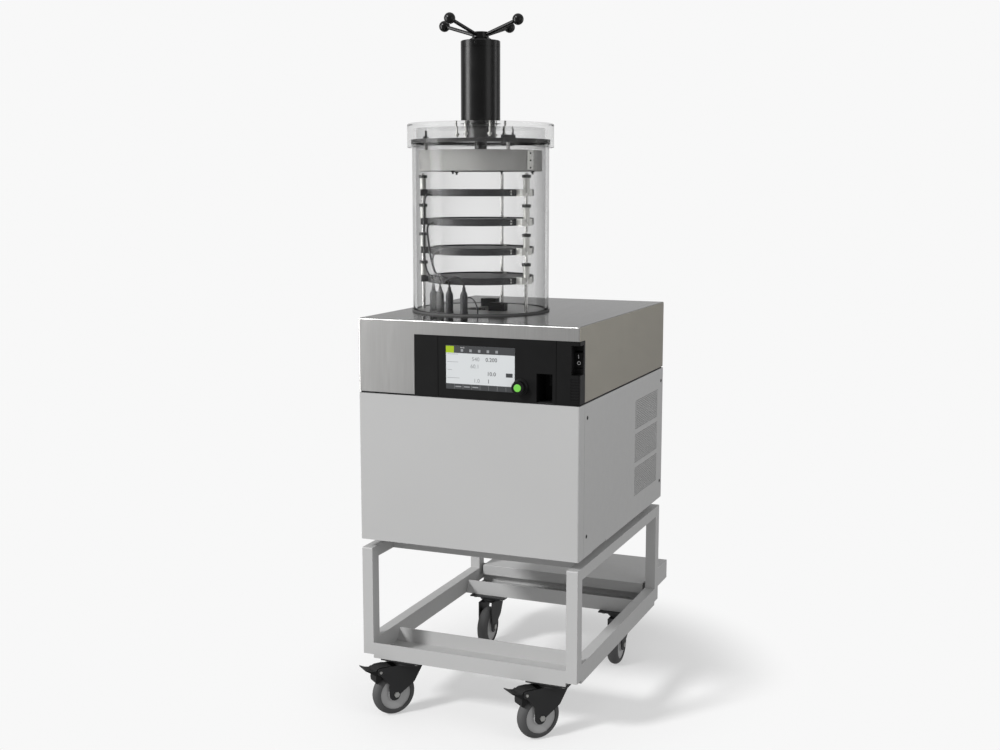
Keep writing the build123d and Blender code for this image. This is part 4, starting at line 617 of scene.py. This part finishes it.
def ring_of(section, level, segments):
    """A ring round the chamber's axis with this section of (radius, height above level)."""
    verts = []
    for step in range(segments):
        bearing = 360 * step / segments
        verts += [around_chamber(radius, bearing, level + rise) for radius, rise in section]
    size = len(section)
    faces = []
    for step in range(segments):
        first = step * size
        after = (step + 1) % segments * size
        for n in range(size):
            m = (n + 1) % size
            faces.append((first + n, after + n, after + m, first + m))
    return verts, faces


def socket_screw(radius, height):
    """Profile of a button-head screw with its socket, from the seat outwards."""
    return [
        (radius, 0), (radius, height * 0.35), (radius * 0.8, height * 0.85), (radius * 0.52, height),
        (radius * 0.46, height), (radius * 0.44, height * 0.35),
    ]  # fmt: skip


def add_screws():
    low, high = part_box("right_panel")
    inset = 0.017
    heights = (high.z - 0.031, low.z + 0.044)
    face = high.x - 0.001
    for name, x, way in (("screws_right", face, 1), ("screws_left", -face, -1)):
        places = [((x, y, z), (way, 0, 0)) for y in (low.y + inset, high.y - inset) for z in heights]
        new_piece(name, join_turned(socket_screw(0.0046, 0.0022), places), "dark_screw")


# =========================================================================================
# Leads: control points (distance from the chamber's axis, bearing, height above the cover)
# =========================================================================================
LEAD_ROUTES = {
    "lead_shelf_1": (
        (0.1225, 226, 0.2651), (0.1295, 226, 0.2651), (0.135, 226, 0.259), (0.137, 226, 0.246),
        (0.1376, 226.4, 0.224), (0.1376, 226.3, 0.184), (0.138, 226, 0.144), (0.1374, 227, 0.108),
        (0.1345, 231, 0.088), (0.1296, 235.4, 0.078), (0.128, 237, 0.0695), (0.128, 237, 0.061),
    ),
    "lead_shelf_2": (
        (0.1225, 231, 0.2001), (0.129, 231, 0.2001), (0.1345, 231.2, 0.195), (0.136, 231.5, 0.184),
        (0.135, 232.5, 0.164), (0.132, 234, 0.13), (0.13, 238, 0.103), (0.1295, 242.5, 0.089),
        (0.1285, 246.5, 0.0795), (0.128, 248, 0.07), (0.128, 248, 0.061),
    ),
    "lead_shelf_3": (
        (0.1225, 241, 0.1351), (0.1295, 241, 0.1351), (0.135, 241.2, 0.13), (0.138, 241.6, 0.119),
        (0.139, 243, 0.101), (0.1383, 248, 0.088), (0.135, 253.5, 0.0845), (0.1305, 257.8, 0.08),
        (0.128, 260, 0.071), (0.128, 260, 0.061),
    ),
    "lead_shelf_4": (
        (0.1225, 256, 0.0701), (0.13, 256, 0.0701), (0.136, 258, 0.074), (0.139, 262, 0.081),
        (0.138, 267.5, 0.0845), (0.1335, 272.6, 0.082), (0.128, 276, 0.0725), (0.128, 276, 0.061),
    ),
    "lead_sensor": (
        (0.11, 274, 0.003), (0.11, 274, 0.015), (0.112, 274.8, 0.028), (0.117, 277.5, 0.038),
        (0.123, 283, 0.039), (0.128, 287.5, 0.029), (0.13, 290, 0.015), (0.13, 290, 0.003),
    ),
}  # fmt: skip
LEAD_DIAMETER = 0.0045
SENSOR_DIAMETER = 0.003


def lead_curve(name, points, thickness):
    """A smooth tube whose control points are the route's."""
    curve = bpy.data.curves.new(name, "CURVE")
    curve.dimensions = "3D"
    curve.resolution_u = 10
    curve.bevel_depth = thickness / 2
    curve.bevel_resolution = 5
    curve.use_fill_caps = True
    spline = curve.splines.new("NURBS")
    spline.points.add(len(points) - 1)
    for control, point in zip(spline.points, points):
        control.co = (*point, 1)
    spline.order_u = 3
    spline.use_endpoint_u = True
    return placed(name, curve)


def as_mesh(piece):
    """The mesh of a curve or text as it stands, which it takes the place of."""
    bpy.context.view_layer.update()
    depsgraph = bpy.context.evaluated_depsgraph_get()
    mesh = bpy.data.meshes.new_from_object(piece.evaluated_get(depsgraph))
    mesh.transform(piece.matrix_world)
    bpy.data.objects.remove(piece)
    return mesh


def add_leads():
    for node, route in LEAD_ROUTES.items():
        points = [around_chamber(radius, bearing, COVER_TOP + rise) for radius, bearing, rise in route]
        diameter = SENSOR_DIAMETER if node == "lead_sensor" else LEAD_DIAMETER
        name = node.replace("lead", "sheath")
        path = [vertex.co.copy() for vertex in as_mesh(lead_curve(name + "_line", points, 0)).vertices]
        mesh = as_mesh(lead_curve(name + "_tube", points, diameter))
        mesh.materials.clear()
        mesh.materials.append(MATERIALS["sheath"])
        for face in mesh.polygons:
            face.use_smooth = True
        piece = placed(name, mesh)
        shelf = node.replace("lead_", "")
        if shelf in frame["bodies"]:
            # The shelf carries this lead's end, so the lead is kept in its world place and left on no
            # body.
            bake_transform(piece)
        else:
            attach(piece, ROOT)
        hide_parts(node)


# =========================================================================================
# Right panel with its perforated fields
# =========================================================================================
HOLE_PITCH = 0.005
HOLE_R = 0.0018
FIELD_SIZE = (0.196, 0.073)
FIELD_STEP = 0.080
FIELD_INSET = (0.044, 0.046)  # from the panel's back edge, from its top
PANEL_SKIN = 0.0015
SLOT = (0.091, 0.187, 0.004)  # at the panel's foot: its ends from the front, its height


def perforated_cell(bm, x, y, z, width, height):
    """One rectangle with a round hole through it, and half-way corners above and below."""
    rim = [(-1, -1), (0, -1), (1, -1), (1, 1), (0, 1), (-1, 1)]
    corner_turn = math.atan2(height, width)
    quarter = math.pi / 2
    turns = [corner_turn - math.pi, -quarter, -corner_turn, corner_turn, quarter, math.pi - corner_turn]
    outer = [[], []]
    inner = [[], []]
    for layer, depth in enumerate(x):
        for side, up in rim:
            outer[layer].append(bm.verts.new((depth, y + side * width / 2, z + up * height / 2)))
        for n, turn in enumerate(turns):
            after = turns[(n + 1) % 6]
            if after < turn:
                after += 2 * math.pi
            for step in (turn, (turn + after) / 2):
                spot = (depth, y + HOLE_R * math.cos(step), z + HOLE_R * math.sin(step))
                inner[layer].append(bm.verts.new(spot))
    for n in range(6):
        m = (n + 1) % 6
        for layer, turned in ((0, False), (1, True)):
            ring = [outer[layer][n], outer[layer][m], inner[layer][(2 * n + 2) % 12]]
            ring += [inner[layer][2 * n + 1], inner[layer][2 * n]]
            bm.faces.new(reversed(ring) if turned else ring)
    for n in range(12):
        m = (n + 1) % 12
        bm.faces.new((inner[0][m], inner[0][n], inner[1][n], inner[1][m]))


def slab(bm, x, y0, y1, z0, z1):
    """A flat plate between two corners, standing across X."""
    corners = [(y0, z0), (y1, z0), (y1, z1), (y0, z1)]
    near = [bm.verts.new((x[0], y, z)) for y, z in corners]
    far = [bm.verts.new((x[1], y, z)) for y, z in corners]
    bm.faces.new(near)
    bm.faces.new(reversed(far))
    for n in range(4):
        m = (n + 1) % 4
        bm.faces.new((near[n], far[n], far[m], near[m]))


def add_right_panel():
    low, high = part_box("right_panel")
    x = (high.x, high.x - PANEL_SKIN)
    row_height = HOLE_PITCH * math.sqrt(3) / 2
    columns = int(FIELD_SIZE[0] / HOLE_PITCH) - 1
    rows = int(FIELD_SIZE[1] / row_height)
    back = high.y - FIELD_INSET[0]
    front = back - FIELD_SIZE[0]
    slot_front, slot_back, slot_height = SLOT
    foot = low.z + slot_height
    bm = bmesh.new()
    slab(bm, x, low.y, front, foot, high.z)
    slab(bm, x, low.y, FRONT + slot_front, low.z, foot)
    slab(bm, x, FRONT + slot_back, front, low.z, foot)
    slab(bm, x, back, high.y, low.z, high.z)
    edge = high.z
    for n in range(3):
        top = high.z - FIELD_INSET[1] - n * FIELD_STEP
        bottom = top - FIELD_SIZE[1]
        first = (top + bottom) / 2 - (rows - 1) / 2 * row_height
        slab(bm, x, front, back, top, edge)
        slab(bm, x, front, back, first + (rows - 0.5) * row_height, top)
        slab(bm, x, front, back, bottom, first - row_height / 2)
        edge = bottom
        for row in range(rows):
            shift = HOLE_PITCH / 4 * (1 if row % 2 else -1)
            start = (front + back) / 2 - (columns - 1) / 2 * HOLE_PITCH + shift
            z = first + row * row_height
            z0, z1 = z - row_height / 2, z + row_height / 2
            for column in range(columns):
                perforated_cell(bm, x, start + column * HOLE_PITCH, z, HOLE_PITCH, row_height)
            slab(bm, x, front, start - HOLE_PITCH / 2, z0, z1)
            slab(bm, x, start + (columns - 0.5) * HOLE_PITCH, back, z0, z1)
    slab(bm, x, front, back, low.z, edge)
    panel = show_bmesh("perforated_panel", bm, "powder")
    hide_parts("right_panel")


# =========================================================================================
# Display, markings and small fastenings
# =========================================================================================
SCREEN_LOW, SCREEN_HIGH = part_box("display_screen")
SCREEN_FACE = SCREEN_LOW.y
FIGURE = 0.0085  # height of the figures
LINE = 0.008  # thickness of the label lines, as a share of the screen's height


def on_screen(u, v, y):
    """A point at shares of the screen's width and height."""
    width = SCREEN_HIGH.x - SCREEN_LOW.x
    height = SCREEN_HIGH.z - SCREEN_LOW.z
    return (SCREEN_LOW.x + u * width, y, SCREEN_LOW.z + v * height)


def sheet_of(name, rectangles, material, lift=0.0001):
    """Thin rectangles (left, bottom, right, top in shares of the screen) on the screen's face."""
    verts, faces = [], []
    for left, bottom, right, top in rectangles:
        first = len(verts)
        for y in (SCREEN_FACE - lift, SCREEN_FACE):
            corners = ((left, bottom), (right, bottom), (right, top), (left, top))
            verts += [on_screen(u, v, y) for u, v in corners]
        faces.append((first, first + 1, first + 2, first + 3))
        for n in range(4):
            m = (n + 1) % 4
            faces.append((first + n, first + 4 + n, first + 4 + m, first + m))
    new_piece(name, (verts, faces), material)


def words(name, lines, material):
    """Flat characters on the screen, facing the front: (text, left and baseline as shares, height)."""
    bm = bmesh.new()
    for text, u, v, height in lines:
        curve = bpy.data.curves.new(name, "FONT")
        curve.body = text
        curve.size = height * 1.4
        curve.resolution_u = 3
        letter = placed(name, curve)
        letter.location = on_screen(u, v, SCREEN_FACE - 0.0002)
        letter.rotation_euler = (math.pi / 2, 0, 0)
        bm.from_mesh(as_mesh(letter))
    for face in bm.faces:
        face.material_index = 0
    show_bmesh(name, bm, material)


def add_display():
    sheet_of("screen_bars", [(0, 0.83, 1, 1), (0, 0, 1, 0.125)], "screen_dark")
    sheet_of("screen_tab", [(0, 0.83, 0.118, 0.985)], "screen_lime", 0.0002)
    dividers = [(n * 0.125 - 0.0015, 0.01, n * 0.125 + 0.0015, 0.115) for n in range(1, 8)]
    sheet_of("screen_dividers", dividers, "screen_grey", 0.0002)
    sheet_of("screen_key", [(0.875, 0.335, 0.97, 0.425)], "screen_dark", 0.0002)
    marks = [(0.22 + n * 0.126, 0.865, 0.255 + n * 0.126, 0.925) for n in range(5)]
    for right, bottom in ((0.18, 0.80), (0.18, 0.62), (0.09, 0.44), (0.2, 0.255)):
        marks.append((0.02, bottom, right, bottom + LINE))
    marks += [(0.14 + n * 0.125, 0.05, 0.225 + n * 0.125, 0.075) for n in range(3)]
    sheet_of("screen_labels", marks, "screen_grey", 0.00025)
    numbers = (("0.200", 0.58, 0.665), ("10.0", 0.60, 0.345), ("1", 0.605, 0.175))
    faint = (("540", 0.38, 0.665), ("60.1", 0.36, 0.5), ("1.0", 0.405, 0.175))
    words("screen_numbers", [(*number, FIGURE) for number in numbers], "screen_dark")
    words("screen_set_points", [(*number, FIGURE) for number in faint], "screen_grey")
    words("screen_title", [("10:42", 0.21, 0.945, 0.0032)], "mark")


def on_surface(node, start, way):
    """Where a ray from start first meets a CAD node, and the surface's direction there."""
    hit, place, normal, _ = NODES[node].ray_cast(Vector(start), Vector(way))
    if not hit:
        raise RuntimeError(f"nothing of {node} lies ahead of {start}")
    return place, normal


def add_rocker_marks():
    """A bar above a ring, on the rocker's curved face."""
    low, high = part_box("power_rocker")
    x = (low.x + high.x) / 2
    middle = (low.z + high.z) / 2
    bar = [(-0.0006, -0.0042), (0.0006, -0.0042), (0.0006, 0.0042), (-0.0006, 0.0042)]
    inner, outer, steps = 0.0027, 0.0038, 24
    ring = []
    for n in range(steps):
        corners = ((n, inner), (n + 1, inner), (n + 1, outer), (n, outer))
        turns = [(2 * math.pi * m / steps, radius) for m, radius in corners]
        ring.append([(radius * math.cos(turn), radius * math.sin(turn)) for turn, radius in turns])
    bm = bmesh.new()
    for z, outlines in ((middle + 0.0072, [bar]), (middle - 0.0062, ring)):
        place, normal = on_surface("power_rocker", (x, FRONT - 0.05, z), (0, 1, 0))
        turned = normal.to_track_quat("Z", "Y").to_matrix().to_4x4()
        seat = Matrix.Translation(place + normal * 0.0001) @ turned
        for outline in outlines:
            bm.faces.new([bm.verts.new(seat @ Vector((a, b, 0))) for a, b in outline])
    show_bmesh("rocker_marks", bm, "mark", "rocker")


PAN_HEIGHT = 0.046
SEAM_BEARING = -16
SEAM_WIDTH = 8.8  # degrees
SEAM_STEPS = 6
PAN_SCREWS = (-98, -44, 22, 142)  # bearings


def add_pan_details(low, radius):
    """The pan's seam with its rivets, and the screws under it. The seam's strip is pale alloy, lighter
    than the pan: partly a real strip, partly a painted highlight along the seam.
    """
    verts = []
    faces = []
    for n in range(SEAM_STEPS + 1):
        bearing = SEAM_BEARING - SEAM_WIDTH / 2 + SEAM_WIDTH * n / SEAM_STEPS
        for off in (radius + 0.0001, radius + 0.0011):
            for z in (low + 0.003, low + PAN_HEIGHT - 0.001):
                verts.append(around_chamber(off, bearing, z))
    for n in range(SEAM_STEPS):
        a = 4 * n
        b = a + 4
        faces += [(a + 2, b + 2, b + 3, a + 3), (a + 1, b + 1, b, a), (a + 3, b + 3, b + 1, a + 1)]
        faces.append((a, b, b + 2, a + 2))
    last = 4 * SEAM_STEPS
    faces += [(0, 2, 3, 1), (last, last + 1, last + 3, last + 2)]
    # Pale alloy on the seam's strip: a real strip with a painted highlight along it.
    new_piece("pan_seam_with_highlight", (verts, faces), "alloy", "press")
    places = []
    for share in (0.16, 0.5, 0.84):
        spot = around_chamber(radius + 0.0009, SEAM_BEARING, low + share * PAN_HEIGHT)
        places.append((spot, from_axis(spot)))
    new_piece("pan_rivets", join_turned(socket_screw(0.0021, 0.0014), places), "dark_screw", "press")
    places = [(around_chamber(0.118, bearing, low + 0.0002), (0, 0, -1)) for bearing in PAN_SCREWS]
    stud = [(0.0045, 0), (0.0045, 0.003), (0.0022, 0.0032), (0.0022, 0.007)]
    new_piece("pan_screws", join_turned(stud, places, 16), "dark_screw", "press")


def add_chamber_details():
    """The pan's details, the pins in the shelves' rims and the screw of the drive's cap."""
    low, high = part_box("pressure_plate")
    add_pan_details(low.z, (high.x - low.x) / 2)

    pin = [(0.0021, 0), (0.0021, 0.0014), (0.0016, 0.0019), (0.0009, 0.0019), (0.0008, 0.0012)]
    for n in range(1, 5):
        low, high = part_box(f"shelf_{n}")
        spot = around_chamber(0.1205, -33.5, (low.z + high.z) / 2)
        places = [(spot + Vector((0, 0, rise)), from_axis(spot)) for rise in (-0.003, 0.003)]
        body = f"shelf_{n}" if n < 4 else ROOT
        new_piece(f"rim_pins_{n}", join_turned(pin, places, 14), "alloy", body)

    spot = around_chamber(0.0443, -80, TUBE_HIGH.z - 0.007)
    screw = [(0.0034, 0), (0.0034, 0.0006), (0.0026, 0.0009), (0.0024, 0.0009), (0.0021, 0.0001)]
    new_piece("cap_screw", join_turned(screw, [(spot, from_axis(spot))]), "dark_screw")


def add_plugs():
    """The lead plugs: a ribbed grip on a collar, with a rounded sleeve round the lead."""
    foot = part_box("lead_plugs")[0].z
    plug = [(0.0088, 0), (0.009, 0.0006), (0.009, 0.0052), (0.0078, 0.0058)]
    for n in range(9):
        rib = 0.0075 + 0.0026 * n
        plug += [(0.0084, rib), (0.0084, rib + 0.0016), (0.008, rib + 0.0019), (0.008, rib + 0.0023)]
    plug += [(0.0085, 0.0315), (0.0085, 0.037), (0.0081, 0.041), (0.0072, 0.0445), (0.0058, 0.0475)]
    plug += [(0.0044, 0.05), (0.0042, 0.0525), (0.0037, 0.053), (0.0037, 0.0545), (0.0041, 0.055)]
    plug += [(0.0036, 0.058), (0.0028, 0.058)]
    places = []
    for node, route in LEAD_ROUTES.items():
        if node != "lead_sensor":
            radius, bearing, _ = route[-1]
            places.append((around_chamber(radius, bearing, foot), (0, 0, 1)))
    plugs = new_piece("plugs", join_turned(plug, places, 28), "plug")
    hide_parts("lead_plugs")


def add_lid_details():
    """Screws and bolts that hold the drive in the lid, and the lip round the cylinder's mouth."""
    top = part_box("lid")[1].z
    seats = [around_chamber(0.054, 15 + 60 * n, top - 0.0002) for n in range(6)]
    screws = [(seat, (0, 0, 1)) for seat in seats]
    new_piece("drive_screws", join_turned(socket_screw(0.0045, 0.003), screws), "alloy")
    bolt = [
        (0.0021, 0), (0.0021, 0.021), (0.005, 0.021), (0.005, 0.0255), (0.0024, 0.0256), (0.0024, 0.029),
    ]  # fmt: skip
    bolts = [(seat + Vector((0, 0, 0.0003)), (0, 0, -1)) for seat in seats]
    new_piece("drive_bolts", join_turned(bolt, bolts, 18), "alloy")
    lip = [(0.1557, -0.005), (0.1575, -0.005), (0.1575, 0.0002), (0.1557, 0.0002)]
    new_piece("mouth_lip", ring_of(lip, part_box("chamber_cylinder")[1].z, 96), "rubber")


bpy.context.scene.view_settings.view_transform = "Standard"
set_camera()
set_light()
add_floor()
dress_nodes()
add_screws()
add_leads()
add_plugs()
add_lid_details()
add_right_panel()
add_display()
add_rocker_marks()
add_chamber_details()
